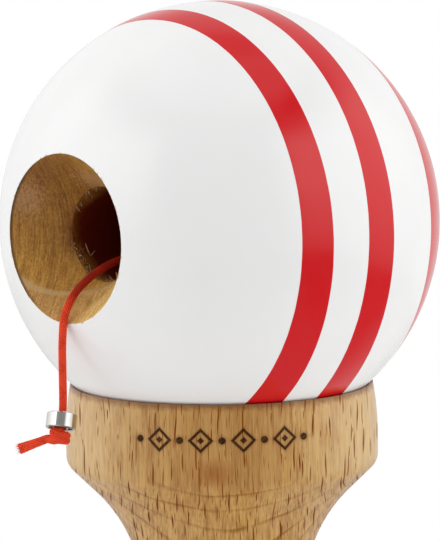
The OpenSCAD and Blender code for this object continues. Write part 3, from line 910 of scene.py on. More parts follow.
# %% Oiled beech
BALL_BEECH = {
    "Ring gap": 4.5, "Rings": 0.12,
    "Pale wood": srgb(212, 164, 92), "Late wood": srgb(158, 108, 48), "Ray": srgb(96, 54, 22)}
BALL_DASH_DARK = 0.2
LOWER_TINT, UPPER_SHADE_TINT = (0.9, 0.84, 0.54, 1), (0.52, 0.4, 0.22, 1)
NAP_SHADE, NAP_LIGHT = (0.72, 0.7, 0.66, 1), (1.22, 1.24, 1.3, 1)
SHADED_SIDE_TINT, LIT_SIDE_TINT = (1, 1, 1, 1), (1.38, 1.64, 2.05, 1)
PALE_RING, DUST_AND_SHEEN = srgb(204, 168, 116), srgb(194, 154, 114)
DUST_AND_SHEEN_SPOTS = (((-9.3, -26.5, 4.5), 0.45), ((0.0, -22.5, 7.0), 0.45))
RING_LOW, LIT_SIDE_FROM = (-6.2, -3.5), (-2.5, 2.0)
RING_SOFT, LIT_WEDGE_FROM = (0.12, 0.45), (-0.15, 0.2)
SHADE_CLIMBS, SHADE_CLOUDS = (0, 15), 14.0
DUST_REACH, DUST_SOFT = 9.0, (0.8, 4.2)
pale_ring = [Vector(p) for p in ((-8.67, -27.38, -6.8), (-6.35, -25.9, -7.75), (-3.88, -24.38, -8.09))]
ring_normal = (pale_ring[1] - pale_ring[0]).cross(pale_ring[2] - pale_ring[0]).normalized()
hole_wood, shader, position = new_material("oiled_beech")
ball_turn = (0, 0, TREE_TURN + 0.35)
axes = in_tree_axes(position, ball_turn, shift=(4.2, 0, 0))
colour, height, _ = flows(place_beech(axes, ball_turn, BALL_DASH_DARK, BALL_BEECH))
from_centre = position - BALL_CENTRE / MM
across, _, above = parts(from_centre)
oil = noise(axes, 0.3, 3.0)
nap = noise(from_centre * (3.6, 3.6, 2.2), 1.0, 4.0, 0.75)
layer = calc("DOT_PRODUCT", from_centre - pale_ring[1], ring_normal) + 0.5 * (oil - 0.5)
low_down = ramp(above, *RING_LOW, 1.0, 0.0)
# Painted light: low down and beyond the pale ring, the wedge of bevel is spared the upward shade tint.
lit_wedge = ramp(layer, *LIT_WEDGE_FROM) * low_down
# Painted shade: the hole's wood is darkened more the higher it lies, and its oiled tone deepens with it.
upward_shade_tint = mix_colour(ramp(above + SHADE_CLOUDS * oil, *SHADE_CLIMBS), LOWER_TINT, UPPER_SHADE_TINT)
colour = mix_colour(1.0 - lit_wedge, colour, upward_shade_tint, "MULTIPLY")
nap_tint = mix_colour(ramp(nap, 0.3, 0.7), NAP_SHADE, NAP_LIGHT)
colour = mix_colour(1.0, colour, nap_tint, "MULTIPLY")
# Painted light: the hole's wood is made paler on its +X side, the right as the camera sees it.
lit_side_tint = mix_colour(ramp(across, *LIT_SIDE_FROM), SHADED_SIDE_TINT, LIT_SIDE_TINT)
colour = mix_colour(1.0, colour, lit_side_tint, "MULTIPLY")
colour = mix_colour(ramp(abs(layer), *RING_SOFT, 0.75, 0.0) * low_down, colour, PALE_RING)
# Two pale grey spots: a painted sheen on the left of the bevel near the lip, and dust in the cut at its
# top.
for spot, share in DUST_AND_SHEEN_SPOTS:
    dust_and_sheen = DUST_REACH * nap - calc("LENGTH", from_centre - spot)
    colour = mix_colour(ramp(dust_and_sheen, *DUST_SOFT, 0.0, share), colour, DUST_AND_SHEEN)
print("hole wood:", hole_wood.name)

# %% Painted shade in the bore
BEVEL_DEPTH = 6.8
OIL_ROUGHNESS = 0.55
PRIMER, BORE_SHADE = srgb(58, 34, 14), srgb(92, 17, 8)
PRIMER_DEEP, PRIMER_SIDE = (0.45, 0.15), (-9.0, -4.0)
UPPER_EDGE, UPPER_HELD_OFF = (2.0, 5.5), 3.6
LOWER_EDGE, LOWER_HELD_OFF = (-4.5, -1.0), 1.3
RAGGED, DARK_BELOW, DARK_ABOVE = 2.6, 2.2, 2.4
mouth_at = math.sqrt((BALL_R / MM) ** 2 - MOUTH_R ** 2)
bevel_at = mouth_at - BEVEL_DEPTH
along_hole = calc("DOT_PRODUCT", from_centre, hole_axis)
at_edge = ramp(along_hole, mouth_at - PRIMER_DEEP[0], mouth_at - PRIMER_DEEP[1])
colour = mix_colour(at_edge * ramp(across, *PRIMER_SIDE, 0.7, 0.0), colour, PRIMER)
ragged = RAGGED * (noise(from_centre, 1.1, 4.0, 0.7) - 0.5)
held_off = ramp(above, *UPPER_EDGE, 0.0, UPPER_HELD_OFF) + ramp(above, *LOWER_EDGE, LOWER_HELD_OFF, 0.0)
depth = along_hole + (ragged + held_off)
# Painted shade: the bore is darkened almost black from a ragged depth down the hole, held off top and
# bottom.
bore_shade = ramp(depth, bevel_at - DARK_BELOW, bevel_at + DARK_ABOVE, 0.97, 0.0)
feed(shader, {
    "Base Color": mix_colour(bore_shade, colour, BORE_SHADE),
    "Roughness": ramp(oil, 0.3, 0.7, 0.62, 0.48),
    "Coat Weight": ramp(bore_shade, 0.2, 0.8, 0.6, 0.1),
    "Specular IOR Level": DRY_SHINE, "Coat Roughness": OIL_ROUGHNESS,
    "Normal": bump(height + 1.5 * nap, strength=0.7, distance=0.03)})
print("bore: dark from about", BEVEL_DEPTH, "mm below the mouth")

# %% [markdown]
# ## The ball
# The outline runs round the outside, down through the cord's small hole, along the bore and back up the
# bevel, so one spin makes the whole ball with its hole. Faces that lie on the sphere get paint, and
# the others get the oiled wood.

# %% Turned ball
BORE_DEPTH, DRILL_POINT = 44.0, 2.0
EYELET_R, COUNTERSINK = 1.3, 0.55
LIP_ROUNDING = 0.16
SHELL_STEPS = 130
PAINT_EDGE = 0.06 * MM
ball_mm = BALL_R / MM
floor_at = mouth_at - BORE_DEPTH


def on_ball(degrees):
    """Give radius and height of a point on the ball at this angle from the hole's axis."""
    a = math.radians(degrees)
    return (ball_mm * math.sin(a), ball_mm * math.cos(a))


def straight(first, last, steps):
    """Give points on a straight line, without its last one."""
    return [tuple(a + (b - a) * i / steps for a, b in zip(first, last)) for i in range(steps)]


lip_on_ball = MOUTH_ANGLE + math.degrees(LIP_ROUNDING / ball_mm)
slant = math.dist((MOUTH_R, mouth_at), (BORE_R, bevel_at))
lip_in_hole = (
    MOUTH_R - LIP_ROUNDING * (MOUTH_R - BORE_R) / slant, mouth_at - LIP_ROUNDING * BEVEL_DEPTH / slant)
back_angle = 180 - math.degrees(math.asin((EYELET_R + COUNTERSINK) / ball_mm))
shell_outline = [on_ball(a) for a in np.linspace(lip_on_ball, back_angle, SHELL_STEPS)]
hole_outline = (
    straight((EYELET_R, -ball_mm + COUNTERSINK), (EYELET_R, floor_at - DRILL_POINT), steps=6)
    + straight((EYELET_R, floor_at - DRILL_POINT), (BORE_R, floor_at), steps=4)
    + straight((BORE_R, floor_at), (BORE_R, bevel_at), steps=20)
    + straight((BORE_R, bevel_at), lip_in_hole, steps=12)
)
lip_outline = [
    tuple((1 - t) ** 2 * a + 2 * t * (1 - t) * b + t ** 2 * c
          for a, b, c in zip(lip_in_hole, (MOUTH_R, mouth_at), on_ball(lip_on_ball)))
    for t in (0, 0.25, 0.5, 0.75)
]
ball_place = Matrix.Translation(BALL_CENTRE) @ Matrix.Rotation(math.pi / 2 + MOUTH_DIP, 4, "X")
ball = turned("ball", shell_outline + hole_outline + lip_outline, ball_place, closed_loop=True)
ball.data.materials.append(ball_paint)
ball.data.materials.append(hole_wood)
bare = [int((face.center - BALL_CENTRE).length < BALL_R - PAINT_EDGE) for face in ball.data.polygons]
ball.data.polygons.foreach_set("material_index", bare)
finish_surface(ball, sharp_degrees=24)
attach(ball, "ball")
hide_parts("tama")
print("ball:", len(bare), "faces,", sum(bare), "of bare wood")

# %% [markdown]
# ## Steel for the bead
# The bead is a stock miniature ball bearing: ground rings, polished balls, and a pressed cage. Its
# solids already have the right shape, so they stay and only get finishes. Grinding leaves fine lines
# round the axis, which a noise in the distance along and from that axis gives. All three finishes share
# that noise as a group, each with its own fineness and shine.

# %% Bearing finishes
SMUDGE_DIM = 0.86
grinding_lines, sockets, results = new_tree(
    "grinding_lines", "ShaderNodeTree",
    {"Position": "Vector", "Fineness": "Float"}, {"Line": "Float", "Smudge": "Float"})
from_bead = sockets["Position"] - bead_at / MM
along_axis = calc("DOT_PRODUCT", from_bead, bead_down)
off_axis = calc("LENGTH", calc("CROSS_PRODUCT", from_bead, bead_down))
feed(results, {
    "Line": noise(joined(along_axis, off_axis), sockets["Fineness"], 4.0, 0.7),
    "Smudge": noise(from_bead, 0.9, 3.0)})


def bearing_steel(name, colour, fineness, smooth, rough):
    """Make a steel with grinding lines that sits between these two roughnesses."""
    made, shader, position = new_material(name)
    line, smudge = flows(add_node(
        position.tree, "ShaderNodeGroup", {"Position": position, "Fineness": fineness},
        node_tree=grinding_lines))
    dimmed = tuple(SMUDGE_DIM * c for c in colour[:3]) + (1.0,)
    feed(shader, {
        "Base Color": mix_colour(smudge, colour, dimmed), "Metallic": 1.0,
        "Roughness": ramp(0.5 * (smudge + line), 0.3, 0.7, smooth, rough),
        "Normal": bump(line, strength=0.5, distance=0.002)})
    return made


ring_steel = bearing_steel(
    "ground_ring_steel", srgb(224, 222, 217), fineness=26.0, smooth=0.12, rough=0.24)
cage_steel = bearing_steel(
    "pressed_cage_steel", srgb(196, 190, 180), fineness=9.0, smooth=0.25, rough=0.4)
ball_steel = bearing_steel(
    "polished_ball_steel", srgb(236, 236, 236), fineness=4.0, smooth=0.05, rough=0.1)
BEAD_FINISHES = {
    "bearing_outer_ring": ring_steel, "bearing_inner_ring": ring_steel,
    "bearing_balls": ball_steel, "bearing_cage": cage_steel}
for node_name, finish in BEAD_FINISHES.items():
    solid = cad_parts[node_name]
    solid.data.materials.clear()
    solid.data.materials.append(finish)
print("bearing finishes:", len(set(BEAD_FINISHES.values())))

# %% [markdown]
# ## Braided cord
# The cord is a fine polyester braid: sixteen yarns, half of them winding each way, passing over and under
# each other round a core. Drawing it on a plain tube would go flat in close-up. Geometry Nodes can copy
# the route once for each yarn and push each copy sideways by a wave, which is exactly what a braiding
# machine does, and the same tree then makes every knot. It also marks every yarn with how far over the
# others it lies and whether it runs in the ball's hole, so the colour can carry painted shade in the gaps
# between yarns and inside the hole.

# %% Red yarn
SHADED_DEEP_RED, LIT_BRIGHT_RED = srgb(168, 14, 4), srgb(255, 82, 42)
HOLE_SHADE_TINT = (0.5, 0.32, 0.38, 1)
YARN_ROUGHNESS, YARN_SHINE = 0.55, 0.25
yarn_red, shader, position = new_material("red_yarn")
yarn, over, shaded_by_ball = (attribute(position.tree, name) for name in ("yarn", "over", "shaded_by_ball"))
streak = noise(position * (9.0, 9.0, 2.5), 1.0, 4.0, 0.65)
# Painted shade: a yarn is darker where it dips under the others and lighter where it lies over them.
tone_and_gap_shade = 0.25 * yarn + 0.5 * streak + 0.55 * over
dye_and_gap_shade = mix_colour(ramp(tone_and_gap_shade, 0.1, 0.8), SHADED_DEEP_RED, LIT_BRIGHT_RED)
# Painted shade: the cord's colour is darkened where it runs inside the ball's hole.
feed(shader, {
    "Base Color": mix_colour(shaded_by_ball, dye_and_gap_shade, HOLE_SHADE_TINT, "MULTIPLY"),
    "Roughness": YARN_ROUGHNESS, "Specular IOR Level": YARN_SHINE,
    "Normal": bump(streak, strength=0.5, distance=0.02)})
print("yarn:", yarn_red.name)

# %% Helpers for shapes


def marked(curve, name, value):
    """Store a number on every point of a curve."""
    return flow(curve.tree, "GeometryNodeStoreNamedAttribute", {
        "Geometry": curve, "Name": name, "Value": value}, data_type="FLOAT", domain="POINT")


def tube(curve, sides, radius, swell):
    """Sweep a ring along a curve, swelling by the way, and close both ends."""
    ring = flow(curve.tree, "GeometryNodeCurvePrimitiveCircle", {"Resolution": sides, "Radius": radius})
    return flow(curve.tree, "GeometryNodeCurveToMesh", {
        "Curve": curve, "Profile Curve": ring, "Scale": swell, "Fill Caps": True})


def finished(shape, finish):
    """Shade a shape smooth, make its instances real and give it its material."""
    soft = flow(shape.tree, "GeometryNodeSetShadeSmooth", {0: shape})
    real = flow(shape.tree, "GeometryNodeRealizeInstances", {0: soft})
    return flow(shape.tree, "GeometryNodeSetMaterial", {"Geometry": real, "Material": finish})


def grown(piece, tree, values):
    """Run a tree on an object, and leave the result as the plain mesh of a new one with its name."""
    modifier = piece.modifiers.new("grow", "NODES")
    modifier.node_group = tree
    for item in tree.interface.items_tree:
        if item.in_out == "INPUT" and item.name in values:
            modifier[item.identifier] = values[item.name]
    bpy.context.view_layer.update()
    result = baked(piece)
    name = piece.name
    bpy.data.objects.remove(piece)
    return new_object(name, result)


print("shape helpers ready")

# %% A tree that braids
HOLE_SHADE_FADES = 4.5 * MM
CORE_SIDES = 8
braid, sockets, results = new_tree("braid", "GeometryNodeTree", {
    "Geometry": "Geometry", "Step": "Float", "Yarns": "Int", "Pitch": "Float", "Lay radius": "Float",
    "Weave": "Float", "Yarn radius": "Float", "Yarn sides": "Int", "Core radius": "Float",
    "Lit from": "Float", "Yarn finish": "Material",
}, {"Geometry": "Geometry"})
route = flow(braid, "GeometryNodeResampleCurve", {
    "Curve": sockets["Geometry"], "Length": sockets["Step"]}, mode="LENGTH")
yarns, which = flows(add_node(braid, "GeometryNodeDuplicateElements", {
    "Geometry": route, "Amount": sockets["Yarns"]}, domain="SPLINE"))
half = sockets["Yarns"] / 2.0
way = 2.0 * calc("LESS_THAN", which, half) - 1.0
start_turn = calc("MODULO", which, half) / half
so_far = flow(braid, "GeometryNodeSplineParameter", output="Length")
turns = so_far / sockets["Pitch"]
spin = FULL_TURN * (way * turns + start_turn)
over = way * calc("COSINE", FULL_TURN * (half * turns))
swell = flow(braid, "GeometryNodeInputRadius")
reach = swell * (sockets["Lay radius"] + over * sockets["Weave"])
ahead = flow(braid, "GeometryNodeInputTangent")
aside = flow(braid, "GeometryNodeInputNormal")
third = calc("CROSS_PRODUCT", ahead, aside)
sideways = calc("SCALE", aside, reach * calc("COSINE", spin))
upwards = calc("SCALE", third, reach * calc("SINE", spin))
hole_shade_ends = sockets["Lit from"]
yarns = marked(yarns, "yarn", start_turn)
yarns = marked(yarns, "over", over)
# Painted shade: points of the cord inside the ball's hole are marked to be darkened.
yarns = marked(yarns, "shaded_by_ball", ramp(so_far, hole_shade_ends - HOLE_SHADE_FADES, hole_shade_ends, 1.0, 0.0))
yarns = flow(braid, "GeometryNodeSetPosition", {"Geometry": yarns, "Offset": sideways + upwards})
yarns = tube(yarns, sockets["Yarn sides"], sockets["Yarn radius"], swell)
core = tube(route, CORE_SIDES, sockets["Core radius"], swell)
both = add_node(braid, "GeometryNodeJoinGeometry")
for shape in (yarns, core):
    feed(both, {0: shape})
feed(results, {0: finished(Flow(both.outputs[0]), sockets["Yarn finish"])})
print("braid tree:", len(braid.nodes), "nodes")

# %% Cord from the handle to the bead
BRAID = {
    "Yarns": 16, "Pitch": 3.3 * MM, "Lay radius": 0.39 * MM, "Weave": 0.036 * MM,
    "Yarn radius": 0.13 * MM, "Core radius": 0.41 * MM, "Yarn finish": yarn_red,
}
CLOSE_UP = {**BRAID, "Step": 0.12 * MM, "Yarn sides": 5}
FAR_OFF = {**BRAID, "Step": 0.33 * MM, "Yarn sides": 4}
HIDDEN = {**BRAID, "Step": 0.2 * MM, "Yarn sides": 4}
HOLE_SHADE_OUT = -28.0 * MM


def route_curve(name, line, radii=None):
    """Lay a curve through the points of a line."""
    data = bpy.data.curves.new(name, "CURVE")
    data.dimensions = "3D"
    spline = data.splines.new("POLY")
    spline.points.add(len(line) - 1)
    spline.points.foreach_set("co", np.column_stack([line, np.ones(len(line))]).ravel())
    spline.points.foreach_set("radius", np.ones(len(line)) if radii is None else radii)
    return new_object(name, data)


upper_cord = grown(route_curve("upper_cord", upper_line), braid, FAR_OFF)
in_hole = lower_line[lower_line[:, 1] > HOLE_SHADE_OUT]
lower_cord = grown(
    route_curve("lower_cord", lower_line), braid, {**CLOSE_UP, "Lit from": route_length(in_hole)})
print("cord faces:", len(upper_cord.data.polygons), "and", len(lower_cord.data.polygons))

# %% [markdown]
# ## Knots
# A stopper knot keeps the bead on the cord, and its short end sticks out to the side. Another knot sits
# in the handle's pocket. Both are the same braid on a route that coils round itself. The short end
# swells towards its cut, because nothing holds the yarns together there.

# %% Knots
KNOT_R, KNOT_TURNS, KNOT_STEPS = 0.9, 2.2, 24
KNOT_ROUTE_STEP = 0.1 * MM
COIL_ENDS_AT = -0.9
KNOT_BELOW_BEAD = 0.6 * MM
SHORT_END, SHORT_END_POINTS = ((-0.55, -30.88, -26.28), (-2.92, -33.54, -27.52)), 6
SWOLLEN, SWELL_MIDDLE, SWELL_END = 24, 1.12, 1.36


def knot_route(top, down, out, first, last, loose_end=()):
    """Lead a cord down an axis, coil it between two distances from top, and add its loose end."""
    out = (out - out.dot(down) * down).normalized()
    side = down.cross(out)
    points = [top, top + 0.5 * first * MM * down]
    steps = int(KNOT_STEPS * KNOT_TURNS)
    for i in range(steps + 1):
        share = i / steps
        a = FULL_TURN * (KNOT_TURNS * (share - 1)) + COIL_ENDS_AT
        r = KNOT_R * min(1.0, 8 * share + 0.3)
        fall = first + (last - first) * share
        points.append(top + MM * (fall * down + r * (math.cos(a) * out + math.sin(a) * side)))
    return smooth_route(points + list(loose_end), KNOT_ROUTE_STEP)


end_start, end_tip = from_ball(SHORT_END)
short_end_way = (end_tip - end_start).normalized()
short_end = [end_start.lerp(end_tip, float(t)) for t in np.linspace(0, 1, SHORT_END_POINTS)]
knot_top = bead_at + KNOT_BELOW_BEAD * bead_down
knot_line = knot_route(
    knot_top, bead_down, short_end_way, first=0.75, last=2.1, loose_end=short_end)
swelling = np.ones(len(knot_line))
swelling[-3 * SWOLLEN:-SWOLLEN] = np.linspace(1.0, SWELL_MIDDLE, 2 * SWOLLEN)
swelling[-SWOLLEN:] = np.linspace(SWELL_MIDDLE, SWELL_END, SWOLLEN)
stopper_knot = grown(route_curve("stopper_knot", knot_line, swelling), braid, CLOSE_UP)
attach(stopper_knot, "tail")
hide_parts("end_knot")
pocket_floor = Vector((0, POCKET_FLOOR * MM, cross_z * MM))
inner_line = knot_route(
    pocket_floor, Vector((0, -1, 0)), Vector((1, 0, 0)), first=0.6, last=1.9)
inner_knot = grown(route_curve("inner_knot", inner_line), braid, HIDDEN)
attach(inner_knot, "handle")
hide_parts("anchor_knot")
print("knot faces:", len(stopper_knot.data.polygons), "and", len(inner_knot.data.polygons))

# %% [markdown]
# ## Loose fibres
# Fibres stand out of the cut end of the cord, and the drill tore splinters at the edge of the bore. Both
# are thin tapered hairs on given points, each with its own way to point and its own length. A particle
# system could do it, but a small tree keeps every hair where it is put and bakes to a plain mesh.

# %% A tree of tapered hairs
HAIR_STEPS, HAIR_SIDES = 5, 4
HAIR_BENDS_AT, HAIR_TIP = 0.55, 0.25
hairs, sockets, results = new_tree("loose_fibres", "GeometryNodeTree", {
    "Geometry": "Geometry", "Thickness": "Float", "Bend": "Float", "Spread": "Float", "Seed": "Int",
    "Fibre finish": "Material",
}, {"Geometry": "Geometry"})
arch = flow(hairs, "GeometryNodeCurveQuadraticBezier", {
    "Resolution": HAIR_STEPS, "Start": (0, 0, 0), "Middle": (0, 0, HAIR_BENDS_AT),
    "End": joined(sockets["Bend"], 0.0, 1.0)})
along = flow(hairs, "GeometryNodeSplineParameter", output="Factor")
arch = marked(arch, "along", along)
hair = tube(arch, HAIR_SIDES, sockets["Thickness"], ramp(along, 0.2, 1.0, 1.0, HAIR_TIP))
aim, size = (
    flow(hairs, "GeometryNodeInputNamedAttribute", {"Name": name}, data_type=kind)
    for name, kind in (("aim", "FLOAT_VECTOR"), ("size", "FLOAT")))
wild = flow(hairs, "FunctionNodeRandomValue", {
    0: (-1, -1, -1), 1: (1, 1, 1), "Seed": sockets["Seed"]}, data_type="FLOAT_VECTOR")
strayed = aim + calc("SCALE", wild, sockets["Spread"])
planted = flow(hairs, "GeometryNodeInstanceOnPoints", {
    "Points": sockets["Geometry"], "Instance": hair, "Scale": size,
    "Rotation": flow(hairs, "FunctionNodeAlignRotationToVector", {"Vector": strayed}, axis="Z")})
feed(results, {0: finished(planted, sockets["Fibre finish"])})


def fibre_points(name, points, aims, sizes):
    """Make a mesh of bare points that know where their fibre points and how long it is."""
    data = bpy.data.meshes.new(name)
    data.from_pydata(points, [], [])
    data.attributes.new("aim", "FLOAT_VECTOR", "POINT").data.foreach_set("vector", np.ravel(aims))
    data.attributes.new("size", "FLOAT", "POINT").data.foreach_set("value", sizes)
    return new_object(name, data)


def fibre_finish(name, root, tip, reach):
    """Colour a fibre from its root to its tip, which it reaches after this share of its length."""
    made, shader, position = new_material(name)
    share = attribute(position.tree, "along")
    patchy = share + 0.3 * noise(position, 2.0)
    feed(shader, {
        "Base Color": mix_colour(ramp(patchy, 0.2, reach), root, tip),
        "Roughness": ramp(share, 0.0, 1.0, 0.45, 0.65)})
    return made


print("fibre tree:", len(hairs.nodes), "nodes")

# %% Frayed end
FRAY_COUNT, FRAY_R, FRAY_SUNK, FRAY_OPENS = 60, 0.55, 0.25, 0.5
luck = np.random.default_rng(11)
across = short_end_way.cross(Vector((0, 0, 1))).normalized()
above = across.cross(short_end_way)
fray_points, fray_aims = [], []
for r, a in zip(np.sqrt(luck.random(FRAY_COUNT)) * FRAY_R, luck.random(FRAY_COUNT) * FULL_TURN):
    aside = float(r * math.cos(a)) * across + float(r * math.sin(a)) * above
    fray_points.append(end_tip + MM * (aside - FRAY_SUNK * short_end_way))
    fray_aims.append(short_end_way + FRAY_OPENS * aside)
fray_sizes = (0.35 + 0.55 * luck.random(FRAY_COUNT) ** 2) * MM
frayed_end = grown(fibre_points("frayed_end", fray_points, fray_aims, fray_sizes), hairs, {
    "Thickness": 0.06, "Bend": 0.15, "Spread": 0.16, "Seed": 3,
    "Fibre finish": fibre_finish("frayed_yarn", srgb(226, 40, 18), srgb(240, 190, 178), reach=1.25)})
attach(frayed_end, "tail")
print("fibres on the cord:", FRAY_COUNT)

# %% Splinters at the bore
TORN_ARCS = ((194, 246, 64), (262, 304, 30), (98, 152, 28))
TORN_STRAY, TORN_TILT, TORN_DEEP = 1.2, 0.4, 1.5
SPLINTER_ROOT = (-5.24, -18.79, -3.73)
LONG_SPLINTERS = ((-0.2, -0.92, 1.78), (0.77, -0.01, 0.91))
bore_x = Vector((1, 0, 0))
bore_z = hole_axis.cross(bore_x)
torn_points, torn_aims, torn_sizes = [], [], []
for first, last, count in TORN_ARCS:
    for at in np.linspace(first, last, count) + luck.normal(0, TORN_STRAY, count):
        a = math.radians(float(at))
        inwards = -(math.cos(a) * bore_x + math.sin(a) * bore_z)
        tilt = [float(v) for v in luck.normal(0, TORN_TILT, 3)]
        sunk = float(luck.random()) ** 2 * TORN_DEEP
        torn_points.append(BALL_CENTRE + MM * ((bevel_at - sunk) * hole_axis - BORE_R * inwards))
        torn_aims.append(0.7 * inwards + 0.55 * hole_axis + Vector(tilt))
        torn_sizes.append((0.4 + 0.7 * float(luck.random()) ** 2) * MM)
for long_way in LONG_SPLINTERS:
    torn_points.append(BALL_CENTRE + MM * Vector(SPLINTER_ROOT))
    torn_aims.append(Vector(long_way))
    torn_sizes.append(Vector(long_way).length * MM)
torn_fibres = grown(fibre_points("torn_fibres", torn_points, torn_aims, torn_sizes), hairs, {
    "Thickness": 0.06, "Bend": 0.12, "Spread": 0.0, "Seed": 5,
    "Fibre finish": fibre_finish("torn_beech", srgb(150, 102, 54), srgb(236, 204, 164), reach=1.1)})
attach(torn_fibres, "ball")
print("splinters at the bore:", len(torn_points))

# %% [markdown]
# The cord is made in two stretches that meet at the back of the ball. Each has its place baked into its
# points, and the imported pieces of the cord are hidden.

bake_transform(upper_cord)
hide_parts("string_lead", "string_wrap", "string_run")
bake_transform(lower_cord)
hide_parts("string_through", "string_tail")

# %% [markdown]
# ## Floor, light and world
# The toy is shown in a light tent: white walls, a soft light from above, one from each side, and a darker
# gap where the camera stands. Gloss shows such a tent as a pattern, and lamps alone would mirror as hard
# squares. So the tent is drawn once, as a group that gives the brightness of a direction, and both the
# world and the floor show it to glossy rays. Its angles are degrees round from the camera and up from
# level. Matt surfaces see plain lamps and an even sky.

# %% The tent by direction
GAP, SEAM, TABLE_AROUND = 0.3, 0.16, 0.62
BACK_LOW, BACK_HIGH = 0.84, 0.62
ROOF_FRONT, ROOF_BACK = 0.64, 0.4
WALL_LOW, WALL_BRIGHT, SIDES_DIM = 0.45, 1.75, 0.22
TABLE_NEAR, TABLE_FAR = 0.32, 0.1
WALL_TOP, SEAM_RISE, BACK_RISE, ROOF_RISE, TABLE_RISE = 28, (36, 54), (15, 40), (57, 66), (-62, -16)
GAP_TURN, SIDE_TURN, BACK_TURN, ROOF_TURN = (29, 47), (60, 100), (106, 140), (110, 160)
WALL_FOOT_TURN, WALL_FOOT_RISE = (60, 95), (-20.0, -34.0)
TABLE_LEFT, TABLE_RIGHT = (-45, -15), (98, 140)
TABLE_EDGE_TURN, TABLE_EDGE_RISE, TABLE_EDGE_SOFT = (53, 93), (-11.0, -17.5), 4
tent, sockets, results = new_tree(
    "light_tent", "ShaderNodeTree", {"Direction": "Vector"}, {"Brightness": "Float"})
ahead = towards_viewer(VIEW_AZIMUTH, 0)
to_right = Vector((0, 0, 1)).cross(ahead)
way = calc("NORMALIZE", sockets["Direction"])
turn = calc("DEGREES", calc(
    "ARCTAN2", calc("DOT_PRODUCT", way, to_right), calc("DOT_PRODUCT", way, ahead)))
round_turn = abs(turn)
rise = calc("DEGREES", calc("ARCSINE", parts(way)[2]))
wall_foot = ramp(round_turn, *WALL_FOOT_TURN, *WALL_FOOT_RISE)
wall = ramp(rise, wall_foot, WALL_TOP, WALL_LOW, WALL_BRIGHT)
wall = mix_number(ramp(rise, *SEAM_RISE), wall, SEAM)
wall = mix_number(ramp(round_turn, *SIDE_TURN, 0.0, SIDES_DIM), wall, 0.0)
front = mix_number(ramp(round_turn, *GAP_TURN), GAP, wall)
back = mix_number(ramp(rise, *BACK_RISE), BACK_LOW, BACK_HIGH)
walls = mix_number(ramp(round_turn, *BACK_TURN), front, back)
roof = mix_number(ramp(round_turn, *ROOF_TURN), ROOF_FRONT, ROOF_BACK)
upper_half = mix_number(ramp(rise, *ROOF_RISE), walls, roof)
table = ramp(rise, *TABLE_RISE, TABLE_NEAR, TABLE_FAR)
table_side = ramp(turn, *TABLE_LEFT) * ramp(turn, *TABLE_RIGHT, 1.0, 0.0)
ground = mix_number(table_side, TABLE_AROUND, table)
over_table = rise - ramp(turn, *TABLE_EDGE_TURN, *TABLE_EDGE_RISE)
is_over = ramp(over_table, -TABLE_EDGE_SOFT, TABLE_EDGE_SOFT)
feed(results, {"Brightness": mix_number(is_over, ground, upper_half)})
print("tent group:", len(tent.nodes), "nodes")

# %% Floor
FLOOR_HALF = 20.0
FLOOR_GREY, WHITE = (0.88, 0.88, 0.88, 1), (1, 1, 1, 1)
FADE_FROM, FADE_TO = 0.12, 0.5
CORNERS = ((-1, -1), (1, -1), (1, 1), (-1, 1))


def ray_kinds(tree):
    """Tell rays that come straight from the camera, through glass too, and rays off a glossy surface."""
    rays = add_node(tree, "ShaderNodeLightPath").outputs
    straight_seen = calc("MAXIMUM", Flow(rays["Is Camera Ray"]), Flow(rays["Is Transmission Ray"]))
    return straight_seen, Flow(rays["Is Glossy Ray"])


def tent_towards(direction):
    """Give the tent's brightness in a direction."""
    return flow(direction.tree, "ShaderNodeGroup", {"Direction": direction}, node_tree=tent)


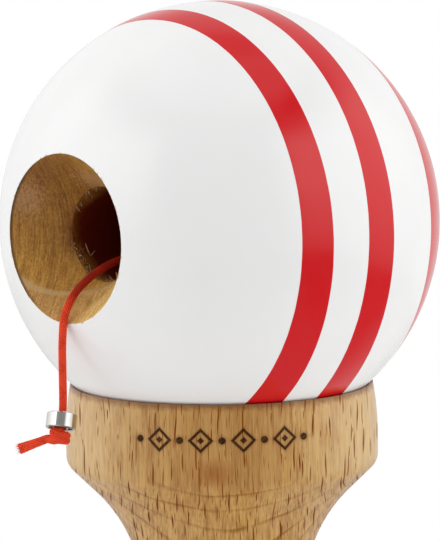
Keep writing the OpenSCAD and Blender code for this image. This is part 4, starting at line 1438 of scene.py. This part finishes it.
floor_data = bpy.data.meshes.new("floor")
floor_data.from_pydata([(FLOOR_HALF * x, FLOOR_HALF * y, 0) for x, y in CORNERS], [], [(0, 1, 2, 3)])
floor = new_object("floor", floor_data)
floor_white = bpy.data.materials.new("floor_white")
floor_white.use_nodes = True
tree = floor_white.node_tree
tree.nodes.clear()
spot = flow(tree, "ShaderNodeTexCoord", output="Object")
straight_seen, glossy = ray_kinds(tree)
matte = flow(tree, "ShaderNodeBsdfDiffuse", {"Color": FLOOR_GREY})
clear = flow(tree, "ShaderNodeEmission", {"Color": WHITE, "Strength": 1.0})
mirrored = flow(tree, "ShaderNodeEmission", {"Strength": tent_towards(spot - BALL_CENTRE)})
faded = straight_seen * ramp(calc("LENGTH", spot), FADE_FROM, FADE_TO)
base = flow(tree, "ShaderNodeMixShader", {0: faded, 1: matte, 2: clear})
top = flow(tree, "ShaderNodeMixShader", {0: glossy, 1: base, 2: mirrored})
add_node(tree, "ShaderNodeOutputMaterial", {"Surface": top})
floor_data.materials.append(floor_white)
print("floor:", 2 * FLOOR_HALF, "m wide")

# %% Soft lights


def soft_light(name, azimuth, elevation, distance, width, height, brightness):
    """Place a soft panel by its direction from the ball, as seen from the camera's side, and aim it."""
    data = bpy.data.lights.new(name, "AREA")
    data.shape = "RECTANGLE"
    data.size, data.size_y = width, height
    data.energy = brightness * math.pi * width * height
    made = new_object(name, data)
    way = towards_viewer(VIEW_AZIMUTH + azimuth, elevation)
    made.location = BALL_CENTRE + distance * way
    made.rotation_euler = (-way).to_track_quat("-Z", "Y").to_euler()
    made.visible_glossy = False


soft_light("top_panel", azimuth=180, elevation=84, distance=0.8, width=1.0, height=0.9, brightness=1.1)
soft_light("left_panel", azimuth=-80, elevation=12, distance=0.8, width=0.6, height=0.6, brightness=1.2)
soft_light("left_strip", azimuth=-75, elevation=-4, distance=0.7, width=0.8, height=0.22, brightness=0.6)
soft_light("right_strip", azimuth=75, elevation=-4, distance=0.7, width=0.8, height=0.22, brightness=2.8)

# %% World
EVEN_SKY = 0.65
world = bpy.data.worlds.new("tent")
bpy.context.scene.world = world
world.use_nodes = True
tree = world.node_tree
tree.nodes.clear()
straight_seen, glossy = ray_kinds(tree)
mirrored = tent_towards(flow(tree, "ShaderNodeTexCoord", output="Generated"))
strength = calc("MAXIMUM", straight_seen, mix_number(glossy, EVEN_SKY, mirrored))
sky = flow(tree, "ShaderNodeBackground", {"Color": WHITE, "Strength": strength})
add_node(tree, "ShaderNodeOutputWorld", {"Surface": sky})
bpy.context.scene.view_settings.view_transform = "Standard"
print("world ready")
